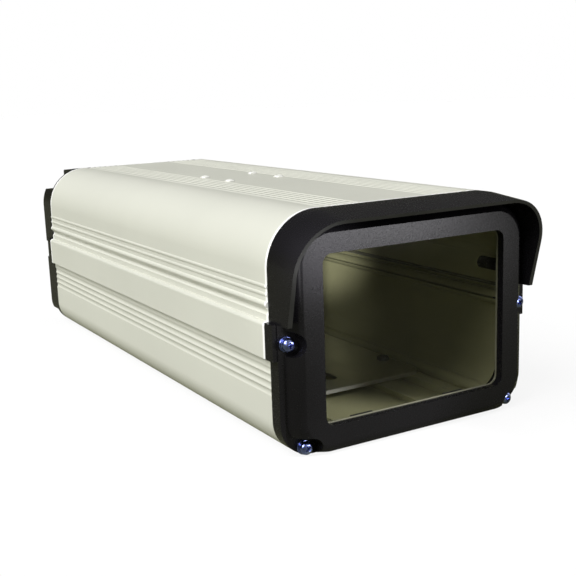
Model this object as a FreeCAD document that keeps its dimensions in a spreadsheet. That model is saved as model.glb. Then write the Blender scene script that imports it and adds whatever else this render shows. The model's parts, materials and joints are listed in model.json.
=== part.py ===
import FreeCAD, Part
import math
import os

import Sketcher
from FreeCAD import Placement, Rotation, Vector

# Weatherproof camera housing: an extruded tray with a side-opening extruded cover, a moulded
# front cap with a window and a rain hood, and a moulded rear cap with cable glands.
# Frame: origin at the centre of the bracket hole pattern on the underside, +X to the right seen
# from the window end, +Y towards the rear cap, +Z up. The window looks along -Y.

DRIVING_SIZES = {
    # Extruded body
    "body_width": 140.0,
    "body_height": 109.0,
    "body_length": 305.0,
    "wall": 2.2,
    "top_radius": 25.0,
    "bottom_radius": 16.0,
    # Skirt of the cover that laps over the tray wall
    "skirt_top": 61.6,
    "skirt_height": 16.5,
    "skirt_stand": 2.3,
    "skirt_wall": 1.4,
    "skirt_edge_round": 1.7,
    "shoulder_wall": 2.0,
    # Lines along the cover's sides
    "bead_rise": 7.5,
    "bead_radius": 1.5,
    "bead_stand": 1.0,
    "cove_rise": 4.3,
    "cove_radius": 1.6,
    "cove_depth": 0.8,
    "ridge_rise": 15.4,
    "ridge_pitch": 3.6,
    "ridge_radius": 1.4,
    "ridge_stand": 0.4,
    # Grooves along the roof
    "roof_groove_start": 20.5,
    "roof_groove_pitch": 3.9,
    "roof_groove_radius": 0.9,
    "roof_groove_depth": 0.45,
    "roof_step_from_edge": 4.5,
    "roof_step_radius": 3.2,
    "roof_step_depth": 0.45,
    # Flutes along the tray's sides
    "flute_drop": 5.45,
    "flute_pitch": 3.45,
    "flute_radius": 3.1,
    "flute_depth": 0.45,
    # Tray
    "rim_seal_height": 1.8,
    "rim_seal_width": 1.8,
    "channel_radius": 3.6,
    "channel_bore": 1.7,
    "channel_slit": 1.2,
    "rail_inset": 24.0,
    "rail_width": 6.0,
    "rail_height": 4.0,
    "bracket_strip_width": 12.0,
    "bracket_strip_height": 3.0,
    "bracket_hole_radius": 2.65,
    "bracket_pitch_x": 50.0,
    "bracket_pitch_y": 60.0,
    # Cover hinge along the left wall
    "hinge_bead_radius": 1.4,
    "hinge_pin_radius": 0.8,
    "hinge_pin_length": 14.0,
    "hinge_pin_reach": 9.0,
    "hinge_groove_gap": 0.3,
    "hinge_rib": 1.8,
    # Clearances
    "running_gap": 0.3,
    "fit_gap": 0.05,
    # Cap screws
    "side_screw_inset": 4.0,
    "side_screw_drop": 8.9,
    "corner_screw_inset": 11.3,
    "corner_screw_level": 4.2,
    "screw_hole_radius": 2.2,
    "screw_head_radius": 3.1,
    "screw_head_height": 2.5,
    "screw_length": 16.0,
    "screw_recess_radius": 1.5,
    "flat_washer_radius": 3.6,
    "flat_washer_height": 0.8,
    "spring_washer_radius": 3.3,
    "spring_washer_height": 1.0,
    "pocket_radius": 5.8,
    # Front cap
    "flange_depth": 7.0,
    "tab_depth": 6.5,
    "bezel_depth": 15.0,
    "bezel_side_inset": 9.05,
    "bezel_top_inset": 9.0,
    "bezel_bottom_inset": 4.7,
    "bezel_radius": 14.5,
    "box_root_side_inset": 3.4,
    "box_root_top_inset": 4.0,
    "box_shoulder_side_inset": 6.7,
    "box_shoulder_depth": 13.4,
    "box_shoulder_drop": 1.6,
    "hood_wall": 3.0,
    "hood_lip_wall": 1.5,
    "hood_lip_side_inset": 0.5,
    "hood_lip_top_inset": 2.6,
    "hood_lip_radius": 22.5,
    "hood_reach": 27.3,
    "hood_low_reach": 15.5,
    "peg_radius": 3.1,
    "peg_length": 9.0,
    "peg_inset": 11.0,
    "peg_rise": 9.6,
    "front_well_side_inset": 9.2,
    "front_well_low_inset": 8.0,
    "front_well_top_inset": 8.0,
    "front_well_radius": 13.0,
    "front_well_depth": 5.2,
    # Window
    "bezel_side_band": 9.85,
    "bezel_top_band": 8.9,
    "bezel_bottom_band": 9.2,
    "window_radius": 4.5,
    "glass_depth": 11.2,
    "glass_overlap": 3.9,
    "glass_thickness": 3.0,
    "glass_gap": 0.5,
    "window_seal_thickness": 1.0,
    "window_seal_inset": 0.5,
    "clip_inset": 24.1,
    "clip_width": 12.0,
    "clip_thickness": 1.0,
    "clip_ledge": 4.6,
    "clip_cover": 3.2,
    "clip_screw_radius": 1.4,
    "clip_screw_head": 2.2,
    "clip_screw_head_height": 1.6,
    "clip_screw_length": 6.0,
    # Cap gaskets
    "gasket_inset": 0.6,
    "gasket_width": 3.4,
    "gasket_thickness": 2.0,
    "gasket_ear_radius": 4.0,
    "gasket_ear_shift": 2.2,
    "gasket_hole_radius": 2.4,
    # Rear cap
    "rear_flange_depth": 6.0,
    "rear_depth": 18.0,
    "rear_wall": 3.0,
    "rear_edge_round": 2.0,
    "rear_flange_top_drop": 0.5,
    "rear_block_top_drop": 1.6,
    "rear_hollow_side_inset": 12.0,
    "rear_hollow_bottom_inset": 9.5,
    "rear_hollow_top_inset": 10.0,
    "rear_hollow_radius": 22.0,
    "rear_relief_side_inset": 17.0,
    "rear_relief_top_inset": 14.0,
    "rear_relief_floor": 1.4,
    "rear_relief_radius": 3.0,
    # Cable glands
    "gland_pitch": 34.0,
    "gland_level": 34.0,
    "gland_thread_radius": 7.6,
    "gland_bore": 5.0,
    "gland_hex": 19.0,
    "gland_hex_height": 4.0,
    "gland_neck_radius": 7.0,
    "gland_neck_height": 7.0,
    "gland_nut_height": 13.0,
    "gland_nut_mouth": 4.3,
    "gland_seal_bore": 3.5,
    "gland_seal_length": 8.0,
    "gland_lock_height": 3.5,
    # Camera sled
    "sled_side_inset": 22.0,
    "sled_thickness": 2.0,
    "sled_front_inset": 43.0,
    "sled_rear_inset": 30.0,
    "sled_corner_radius": 8.0,
    "sled_slot_width": 7.0,
    "sled_slot_front_margin": 14.5,
    "sled_slot_rear_margin": 87.5,
    "sled_screw_front_margin": 29.5,
    "sled_screw_rear_margin": 42.5,
    "sled_screw_radius": 1.65,
    "sled_screw_head": 3.5,
    "sled_screw_head_height": 2.2,
    "sled_screw_length": 4.5,
    "camera_screw_radius": 3.1,
    "camera_screw_neck": 2.4,
    "camera_screw_head": 5.5,
    "camera_screw_head_height": 2.6,
    "camera_screw_reach": 6.3,
    "camera_washer_radius": 7.0,
    "camera_washer_height": 0.8,
    # Rivets through the roof
    "roof_rivet_pitch": 32.0,
    "roof_rivet_head": 2.15,
    "roof_rivet_head_height": 1.1,
    "roof_rivet_shank": 1.2,
    "roof_rivet_tail": 1.8,
    "roof_rivet_tail_length": 2.5,
    # Spring latches on the right wall
    "latch_end_inset": 57.5,
    "latch_pivot_drop": 6.1,
    "latch_pivot_stand": 6.0,
    "latch_pin_radius": 1.25,
    "latch_plate_length": 30.0,
    "latch_plate_top_gap": 1.5,
    "latch_plate_height": 18.6,
    "latch_plate": 1.2,
    "latch_hook_width": 20.0,
    "latch_barrel_radius": 2.3,
    "latch_strip": 1.2,
    "latch_strip_gap": 2.2,
    "latch_nose_reach": 1.7,
    "latch_tab_rise": 7.0,
    "latch_tab_flare": 3.0,
    "latch_swing": 180.0,
    "latch_rivet_pitch": 12.0,
    "latch_rivet_rise": 4.5,
    "latch_rivet_head": 2.2,
    "latch_rivet_head_height": 0.9,
    "latch_rivet_shank": 1.2,
    "latch_rivet_bite": 1.5,
}


class Size:
    """A length that knows its number and the sheet expression it comes from."""

    def __init__(self, number, text):
        self.number = number
        self.text = text

    def __add__(self, other):
        other = as_size(other)
        return Size(self.number + other.number, f"({self.text} + {other.text})")

    def __sub__(self, other):
        other = as_size(other)
        return Size(self.number - other.number, f"({self.text} - {other.text})")

    def __mul__(self, other):
        other = as_size(other)
        return Size(self.number * other.number, f"({self.text} * {other.text})")

    def __truediv__(self, other):
        other = as_size(other)
        return Size(self.number / other.number, f"({self.text} / {other.text})")

    def __neg__(self):
        return Size(-self.number, f"(-1 * {self.text})")

    def __radd__(self, other):
        return as_size(other) + self

    def __rsub__(self, other):
        return as_size(other) - self


def as_size(value):
    if isinstance(value, Size):
        return value
    return Size(float(f"{value:g}"), f"{value:g}")


doc = FreeCAD.newDocument("camera_housing")
sheet = doc.addObject("Spreadsheet::Sheet", "sizes")


class Sizes:
    """Holds one Size for each alias of the sheet."""


s = Sizes()
for row, (alias, value) in enumerate(DRIVING_SIZES.items(), start=1):
    sheet.set(f"A{row}", alias)
    sheet.set(f"B{row}", f"{value:g}")
    sheet.setAlias(f"B{row}", alias)
    setattr(s, alias, Size(value, f"sizes.{alias}"))
doc.recompute()

SUBPARTS = []

half_width = s.body_width / 2
half_length = s.body_length / 2
inner_half_width = half_width - s.wall
skirt_outer = half_width + s.skirt_stand
skirt_inner = skirt_outer - s.skirt_wall
skirt_bottom = s.skirt_top - s.skirt_height
shoulder_level = s.skirt_top - s.shoulder_wall
hinge_x = -skirt_outer + s.hinge_bead_radius
hinge_level = skirt_bottom + s.hinge_bead_radius
rim_level = shoulder_level - s.running_gap - s.rim_seal_height

side_screw_x = half_width - s.side_screw_inset
side_screw_level = s.skirt_top - s.side_screw_drop
corner_screw_x = half_width - s.corner_screw_inset

bezel_half = half_width - s.bezel_side_inset
bezel_low = s.bezel_bottom_inset
bezel_top = s.body_height - s.bezel_top_inset
window_half = bezel_half - s.bezel_side_band
window_low = bezel_low + s.bezel_bottom_band
window_top = bezel_top - s.bezel_top_band
glass_back = s.glass_depth - s.window_seal_thickness - s.glass_thickness
rebate_margin = s.glass_overlap + s.glass_gap
clip_x = window_half - s.clip_inset

rail_outer = half_width - s.rail_inset
rail_middle = rail_outer - s.rail_width / 2
sled_level = s.wall + s.rail_height
sled_half = half_width - s.sled_side_inset
sled_front = -half_length + s.sled_front_inset
sled_rear = half_length - s.sled_rear_inset
sled_slot_front = sled_front + s.sled_slot_front_margin
sled_slot_rear = sled_rear - s.sled_slot_rear_margin
sled_screw_front = sled_front + s.sled_screw_front_margin
sled_screw_rear = sled_rear - s.sled_screw_rear_margin
camera_screw_y = (sled_slot_front + sled_slot_rear) / 2

latch_y = half_length - s.latch_end_inset
latch_plate_top = skirt_bottom - s.latch_plate_top_gap
latch_plate_bottom = latch_plate_top - s.latch_plate_height
latch_pivot_level = skirt_bottom - s.latch_pivot_drop
latch_rivet_level = latch_plate_bottom + s.latch_rivet_rise


# Helpers for objects bound to the sheet

def bind(target, prop, value):
    """Sets a property to a length and keeps it tied to the sheet."""
    target.setExpression(prop, as_size(value).text)


def place(target, x=0, y=0, z=0, rotation=None):
    """Puts an object at a place that follows the sheet."""
    x, y, z = as_size(x), as_size(y), as_size(z)
    target.Placement = Placement(Vector(x.number, y.number, z.number), rotation or Rotation())
    for axis, value in (("x", x), ("y", y), ("z", z)):
        if value.text != "0":
            bind(target, f"Placement.Base.{axis}", value)


def box(name, low, size):
    """A box from its lowest corner and its three lengths."""
    made = doc.addObject("Part::Box", name)
    for prop, value in zip(("Length", "Width", "Height"), size):
        bind(made, prop, value)
    place(made, *low)
    return made


ALONG = {
    "x": Rotation(Vector(0, 1, 0), 90),
    "y": Rotation(Vector(1, 0, 0), -90),
    "-y": Rotation(Vector(1, 0, 0), 90),
    "z": Rotation(),
    "-z": Rotation(Vector(1, 0, 0), 180),
    "-x": Rotation(Vector(0, 1, 0), -90),
}


def cylinder(name, radius, length, base, along="z"):
    made = doc.addObject("Part::Cylinder", name)
    bind(made, "Radius", radius)
    bind(made, "Height", length)
    place(made, *base, rotation=ALONG[along])
    return made


def hexagon(name, across_flats, length, base, along="z"):
    """A hexagonal prism with two flats level."""
    made = doc.addObject("Part::Prism", name)
    made.Polygon = 6
    bind(made, "Circumradius", across_flats / round(math.sqrt(3), 6))
    bind(made, "Height", length)
    place(made, *base, rotation=ALONG[along])
    return made


def dome(name, radius, height, base, along="z"):
    """A rivet or screw head: the cap of a ball, of the given rim radius and height."""
    radius, height = as_size(radius), as_size(height)
    ball_radius = (radius * radius + height * height) / (height * 2)
    depth = ball_radius - height
    ball = doc.addObject("Part::Sphere", name)
    bind(ball, "Radius", ball_radius)
    ball.Angle1 = math.degrees(math.asin(depth.number / ball_radius.number))
    ball.setExpression("Angle1", f"asin({depth.text} / {ball_radius.text})")
    centre = [as_size(value) for value in base]
    axis, sign = {"x": (0, 1), "-x": (0, -1), "y": (1, 1), "-y": (1, -1), "z": (2, 1), "-z": (2, -1)}[along]
    centre[axis] = centre[axis] - depth * sign
    place(ball, *centre, rotation=ALONG[along])
    return ball


def joined(name, pieces):
    made = doc.addObject("Part::MultiFuse", name)
    made.Shapes = pieces
    return made


def cut(name, base, tools):
    """The base less every tool."""
    made = doc.addObject("Part::Cut", name)
    made.Base = base
    made.Tool = tools[0] if len(tools) == 1 else joined(f"{name}_tools", tools)
    return made


def group(name, pieces):
    """Like pieces that stay separate solids of one sub-part."""
    made = doc.addObject("Part::Compound", name)
    made.Links = pieces
    return made


def subpart(target, label):
    target.Label = label
    SUBPARTS.append(target)
    return target


# Helpers for bodies with sketches

def new_body(label):
    made = doc.addObject("PartDesign::Body", label)
    return subpart(made, label)


def new_sketch(body, name, role="XZ_Plane", offset=None):
    """A sketch on one of the body's own planes; offset moves it along the plane's normal."""
    made = body.newObject("Sketcher::SketchObject", f"{body.Name}_{name}")
    planes = [feature for feature in body.Origin.OriginFeatures if feature.Role == role]
    made.AttachmentSupport = (planes[0], [""])
    made.MapMode = "FlatFace"
    if offset is not None:
        bind(made, "AttachmentOffset.Base.z", offset)
    return made


def fix_point(sketch, geometry, end, point):
    """Ties a point of a sketch to its two distances from the origin."""
    for kind, value in zip(("DistanceX", "DistanceY"), point):
        value = as_size(value)
        index = sketch.addConstraint(Sketcher.Constraint(kind, -1, 1, geometry, end, value.number))
        sketch.setExpression(f"Constraints[{index}]", value.text)


def fix_radius(sketch, geometry, radius):
    index = sketch.addConstraint(Sketcher.Constraint("Radius", geometry, radius.number))
    sketch.setExpression(f"Constraints[{index}]", radius.text)


def flat(point):
    return Vector(point[0].number, point[1].number, 0)


def bearing(centre, point):
    """The direction from a centre to a point, in radians."""
    return math.atan2(point[1].number - centre[1].number, point[0].number - centre[0].number)


def turns_left(start, end, centre):
    """Whether the way from start to end goes round the centre anticlockwise."""
    return math.sin(bearing(centre, end) - bearing(centre, start)) > 0


def outline(sketch, corners):
    """A closed outline. A corner is (u, v) or (u, v, radius); round corners join level and
    upright edges."""
    corners = [tuple(as_size(value) for value in corner) for corner in corners]
    runs = []
    arcs = []
    for index, corner in enumerate(corners):
        before = corners[index - 1]
        after = corners[(index + 1) % len(corners)]
        if len(corner) == 2:
            runs.append((corner, corner))
            arcs.append(None)
            continue
        radius = corner[2]
        back = [math.copysign(1, b.number - c.number) if abs(b.number - c.number) > 1e-9 else 0
                for b, c in zip(before, corner[:2])]
        ahead = [math.copysign(1, a.number - c.number) if abs(a.number - c.number) > 1e-9 else 0
                 for a, c in zip(after, corner[:2])]
        start = tuple(c + radius * b for c, b in zip(corner[:2], back))
        end = tuple(c + radius * a for c, a in zip(corner[:2], ahead))
        centre = tuple(c + radius * (a + b) for c, a, b in zip(corner[:2], ahead, back))
        runs.append((start, end))
        arcs.append((centre, radius))
    for index, (start, end) in enumerate(runs):
        if arcs[index] is not None:
            centre, radius = arcs[index]
            forward = turns_left(start, end, centre)
            first, last = (start, end) if forward else (end, start)
            ring = Part.Circle(flat(centre), Vector(0, 0, 1), radius.number)
            arc = Part.ArcOfCircle(ring, bearing(centre, first), bearing(centre, last))
            geometry = sketch.addGeometry(arc, False)
            fix_point(sketch, geometry, 1, first)
            fix_point(sketch, geometry, 2, last)
            fix_radius(sketch, geometry, radius)
        following = runs[(index + 1) % len(runs)][0]
        line = sketch.addGeometry(Part.LineSegment(flat(end), flat(following)), False)
        fix_point(sketch, line, 1, end)
        fix_point(sketch, line, 2, following)
    return sketch


def circles(sketch, centres, radius):
    radius = as_size(radius)
    for centre in centres:
        centre = tuple(as_size(value) for value in centre)
        geometry = sketch.addGeometry(Part.Circle(flat(centre), Vector(0, 0, 1), radius.number), False)
        fix_point(sketch, geometry, 3, centre)
        fix_radius(sketch, geometry, radius)
    return sketch


def pad(body, sketch, length, both_ways=False, backwards=False):
    made = body.newObject("PartDesign::Pad", f"{sketch.Name}_pad")
    made.Profile = sketch
    bind(made, "Length", length)
    made.Midplane = both_ways
    made.Reversed = backwards
    made.Refine = False
    return made


def pocket(body, sketch, length=None, both_ways=False, backwards=False):
    """Cuts a sketch out of the body: to a length, or right through both ways."""
    made = body.newObject("PartDesign::Pocket", f"{sketch.Name}_pocket")
    made.Profile = sketch
    if length is None:
        made.Type = "ThroughAll"
    else:
        bind(made, "Length", length)
    made.Midplane = both_ways
    made.Reversed = backwards
    made.Refine = False
    return made


def loft(body, name, sections):
    """Joins sections by straight lines."""
    made = body.newObject("PartDesign::AdditiveLoft", name)
    made.Profile = sections[0]
    made.Sections = sections[1:]
    made.Ruled = True
    return made


def both_sides(points):
    """The points and their mirror images across the YZ plane."""
    points = [tuple(as_size(value) for value in point) for point in points]
    return points + [(-point[0],) + point[1:] for point in points]


def body_outline(inset=0):
    """The section of the extruded body, drawn in by an inset."""
    inset = as_size(inset)
    side = half_width - inset
    top = s.body_height - inset
    low_round = s.bottom_radius - inset
    top_round = s.top_radius - inset
    return [(-side, inset, low_round), (side, inset, low_round),
            (side, top, top_round), (-side, top, top_round)]


def rectangle(x_low, x_high, z_low, z_high, radius=None):
    corners = [(x_low, z_low), (x_high, z_low), (x_high, z_high), (x_low, z_high)]
    if radius is None:
        return corners
    return [corner + (radius,) for corner in corners]


CAP_SCREWS = both_sides([(side_screw_x, side_screw_level), (corner_screw_x, s.corner_screw_level)])


# Lower tray

def make_lower_tray():
    body = new_body("lower_tray")
    outer = new_sketch(body, "section")
    low_round = s.bottom_radius
    in_round = s.bottom_radius - s.wall
    outline(outer, [
        (-half_width, rim_level), (-half_width, 0, low_round), (half_width, 0, low_round),
        (half_width, rim_level), (inner_half_width, rim_level),
        (inner_half_width, s.wall, in_round), (-inner_half_width, s.wall, in_round),
        (-inner_half_width, rim_level)])
    pad(body, outer, s.body_length, both_ways=True)

    channels = new_sketch(body, "screw_channels")
    circles(channels, CAP_SCREWS[:1] + CAP_SCREWS[2:3], s.channel_radius)
    pad(body, channels, s.body_length, both_ways=True)
    corner_channels = new_sketch(body, "corner_channels")
    circles(corner_channels, CAP_SCREWS[1:2] + CAP_SCREWS[3:4], s.channel_radius - s.fit_gap * 4)
    pad(body, corner_channels, s.body_length, both_ways=True)

    hinge_rib = new_sketch(body, "hinge_rib")
    rib_reach = s.hinge_bead_radius * 2 + s.wall
    outline(hinge_rib, rectangle(-inner_half_width - s.wall / 2, -inner_half_width + s.hinge_rib,
                                 hinge_level - rib_reach, side_screw_level))
    pad(body, hinge_rib, s.body_length, both_ways=True)

    rails = new_sketch(body, "floor_rails")
    for side in (-1, 1):
        near = (rail_outer - s.rail_width) * side
        far = rail_outer * side
        strip_middle = s.bracket_pitch_x / 2 * side
        strip_half = s.bracket_strip_width / 2
        low, high = (near, far) if side > 0 else (far, near)
        outline(rails, rectangle(low, high, s.wall / 2, sled_level))
        outline(rails, rectangle(strip_middle - strip_half, strip_middle + strip_half,
                                 s.wall / 2, s.wall + s.bracket_strip_height))
    pad(body, rails, s.body_length, both_ways=True)

    grooves = new_sketch(body, "hinge_groove")
    sweep_radius = s.hinge_bead_radius * round(math.sqrt(2), 6) + s.hinge_groove_gap
    circles(grooves, [(hinge_x, hinge_level)], sweep_radius)
    pocket(body, grooves, both_ways=True)

    flutes = new_sketch(body, "side_flutes")
    centre_x = half_width + s.flute_radius - s.flute_depth
    levels = [skirt_bottom - s.flute_drop - s.flute_pitch * step for step in range(4)]
    circles(flutes, both_sides([(centre_x, level) for level in levels]), s.flute_radius)
    pocket(body, flutes, both_ways=True)

    bores = new_sketch(body, "screw_bores")
    circles(bores, CAP_SCREWS, s.channel_bore)
    pocket(body, bores, both_ways=True)
    slits = new_sketch(body, "channel_slits")
    for side in (-1, 1):
        near = side_screw_x * side
        far = (side_screw_x - s.channel_radius * 2) * side
        low, high = (far, near) if side > 0 else (near, far)
        outline(slits, rectangle(low, high, side_screw_level - s.channel_slit / 2,
                                 side_screw_level + s.channel_slit / 2))
    pocket(body, slits, both_ways=True)

    bracket_holes = new_sketch(body, "bracket_holes", "XY_Plane")
    half_x = s.bracket_pitch_x / 2
    half_y = s.bracket_pitch_y / 2
    circles(bracket_holes, both_sides([(half_x, half_y), (half_x, -half_y)]), s.bracket_hole_radius)
    pocket(body, bracket_holes, both_ways=True)

    sled_holes = new_sketch(body, "sled_screw_holes", "XY_Plane", s.wall)
    circles(sled_holes, sled_screw_points(), s.sled_screw_radius + s.fit_gap)
    pocket(body, sled_holes, s.rail_height, backwards=True)

    rivet_holes = new_sketch(body, "latch_rivet_holes", "YZ_Plane", half_width - s.latch_rivet_bite)
    circles(rivet_holes, latch_rivet_points(), s.latch_rivet_shank + s.fit_gap)
    pocket(body, rivet_holes, s.wall * 3, backwards=True)


def sled_screw_points():
    return both_sides([(rail_middle, sled_screw_front), (rail_middle, sled_screw_rear)])


def latch_rivet_points():
    """Places of the latch rivets along the right wall, as (y, z)."""
    points = []
    for end in (-1, 1):
        for step in (-1, 1):
            points.append((latch_y * end + s.latch_rivet_pitch / 2 * step,
                           latch_rivet_level))
    return points


# Upper cover

def make_upper_cover():
    body = new_body("upper_cover")
    length = s.body_length - s.running_gap * 2
    top = s.body_height
    under = s.body_height - s.wall
    in_round = s.top_radius - s.wall
    section = new_sketch(body, "section")
    outline(section, [
        (-skirt_outer, skirt_bottom), (-skirt_outer, s.skirt_top, s.skirt_edge_round),
        (-half_width, s.skirt_top), (-half_width, top, s.top_radius),
        (half_width, top, s.top_radius), (half_width, s.skirt_top),
        (skirt_outer, s.skirt_top, s.skirt_edge_round), (skirt_outer, skirt_bottom),
        (skirt_inner, skirt_bottom), (skirt_inner, shoulder_level),
        (inner_half_width, shoulder_level), (inner_half_width, under, in_round),
        (-inner_half_width, under, in_round), (-inner_half_width, shoulder_level),
        (-skirt_inner, shoulder_level), (-skirt_inner, skirt_bottom)])
    pad(body, section, length, both_ways=True)

    bead = new_sketch(body, "side_beads")
    bead_x = half_width + s.bead_stand - s.bead_radius
    circles(bead, both_sides([(bead_x, s.skirt_top + s.bead_rise)]), s.bead_radius)
    pad(body, bead, length, both_ways=True)
    ridges = new_sketch(body, "side_ridges")
    ridge_x = half_width + s.ridge_stand - s.ridge_radius
    ridge_level = s.skirt_top + s.ridge_rise
    circles(ridges, both_sides([(ridge_x, ridge_level), (ridge_x, ridge_level - s.ridge_pitch)]),
            s.ridge_radius)
    pad(body, ridges, length, both_ways=True)
    hinge_bead = new_sketch(body, "hinge_bead")
    circles(hinge_bead, [(hinge_x, hinge_level)], s.hinge_bead_radius)
    pad(body, hinge_bead, length, both_ways=True)

    coves = new_sketch(body, "side_coves")
    cove_x = half_width + s.cove_radius - s.cove_depth
    circles(coves, both_sides([(cove_x, s.skirt_top + s.cove_rise)]), s.cove_radius)
    pocket(body, coves, both_ways=True)
    grooves = new_sketch(body, "roof_grooves")
    groove_z = s.body_height + s.roof_groove_radius - s.roof_groove_depth
    places = [(s.roof_groove_start + s.roof_groove_pitch * step, groove_z) for step in range(5)]
    circles(grooves, both_sides(places), s.roof_groove_radius)
    pocket(body, grooves, both_ways=True)
    steps = new_sketch(body, "roof_steps")
    step_x = half_width - s.top_radius - s.roof_step_from_edge
    step_z = s.body_height + s.roof_step_radius - s.roof_step_depth
    circles(steps, both_sides([(step_x, step_z)]), s.roof_step_radius)
    pocket(body, steps, both_ways=True)

    pin_bores = new_sketch(body, "hinge_pin_bores")
    circles(pin_bores, [(hinge_x, hinge_level)], s.hinge_pin_radius + s.fit_gap)
    pocket(body, pin_bores, both_ways=True)

    rivet_holes = new_sketch(body, "roof_rivet_holes", "XY_Plane", under - s.wall)
    circles(rivet_holes, roof_rivet_points(), s.roof_rivet_shank + s.fit_gap)
    pocket(body, rivet_holes, s.wall * 3, backwards=True)


def roof_rivet_points():
    half = s.roof_rivet_pitch / 2
    return both_sides([(half, half), (half, -half)])


def make_rim_seals():
    """Rubber strips on the tray's rims, under the cover's shoulders."""
    for side, name in ((-1, "left_rim_seal"), (1, "right_rim_seal")):
        middle = (half_width - s.wall / 2) * side
        strip = box(name, (middle - s.rim_seal_width / 2, -half_length, rim_level),
                    (s.rim_seal_width, s.body_length, s.rim_seal_height))
        subpart(strip, name)


# Cap gaskets: a flat ring with ears round the cap screws

def gasket_sketches(body, depth_offset, clearance, length, backwards, cutting):
    """Adds or cuts the gasket's shape; the seat in a cap is cut with the same outlines."""
    act = pocket if cutting else pad
    ring = new_sketch(body, "gasket_ring", offset=depth_offset)
    outline(ring, body_outline(s.gasket_inset - clearance))
    outline(ring, body_outline(s.gasket_inset + s.gasket_width + clearance))
    act(body, ring, length, backwards=backwards)
    ears = new_sketch(body, "gasket_side_ears", offset=depth_offset)
    inner_edge = half_width - s.gasket_inset - s.gasket_width
    for side in (-1, 1):
        near = (side_screw_x - s.gasket_ear_radius) * side
        far = (inner_edge + s.gasket_width / 2) * side
        low, high = (near, far) if side > 0 else (far, near)
        outline(ears, rectangle(low, high, side_screw_level - s.gasket_ear_radius,
                                side_screw_level + s.gasket_ear_radius))
    act(body, ears, length, backwards=backwards)
    corner_ears = new_sketch(body, "gasket_corner_ears", offset=depth_offset)
    corner = both_sides([(corner_screw_x - s.gasket_ear_shift / 3,
                          s.corner_screw_level + s.gasket_ear_shift)])
    circles(corner_ears, corner, s.gasket_ear_radius)
    act(body, corner_ears, length, backwards=backwards)


def make_gasket(name, end):
    """A flat rubber ring set into the cap, level with the cap's mating face."""
    body = new_body(name)
    backwards = end > 0
    gasket_sketches(body, None, as_size(0), s.gasket_thickness, backwards, cutting=False)
    holes = new_sketch(body, "screw_holes")
    circles(holes, CAP_SCREWS, s.gasket_hole_radius)
    pocket(body, holes, both_ways=True)
    place(body, 0, half_length * end, 0)


# Front cap

def hood_arch(side_inset, top_inset, radius, wall):
    """The section of the hood: an arch inside the body's outline, open below."""
    side = half_width - side_inset
    top = s.body_height - top_inset
    return [
        (-side, s.skirt_top), (-side, top, radius), (side, top, radius), (side, s.skirt_top),
        (side - wall, s.skirt_top), (side - wall, top - wall, radius - wall),
        (-side + wall, top - wall, radius - wall), (-side + wall, s.skirt_top)]


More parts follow.
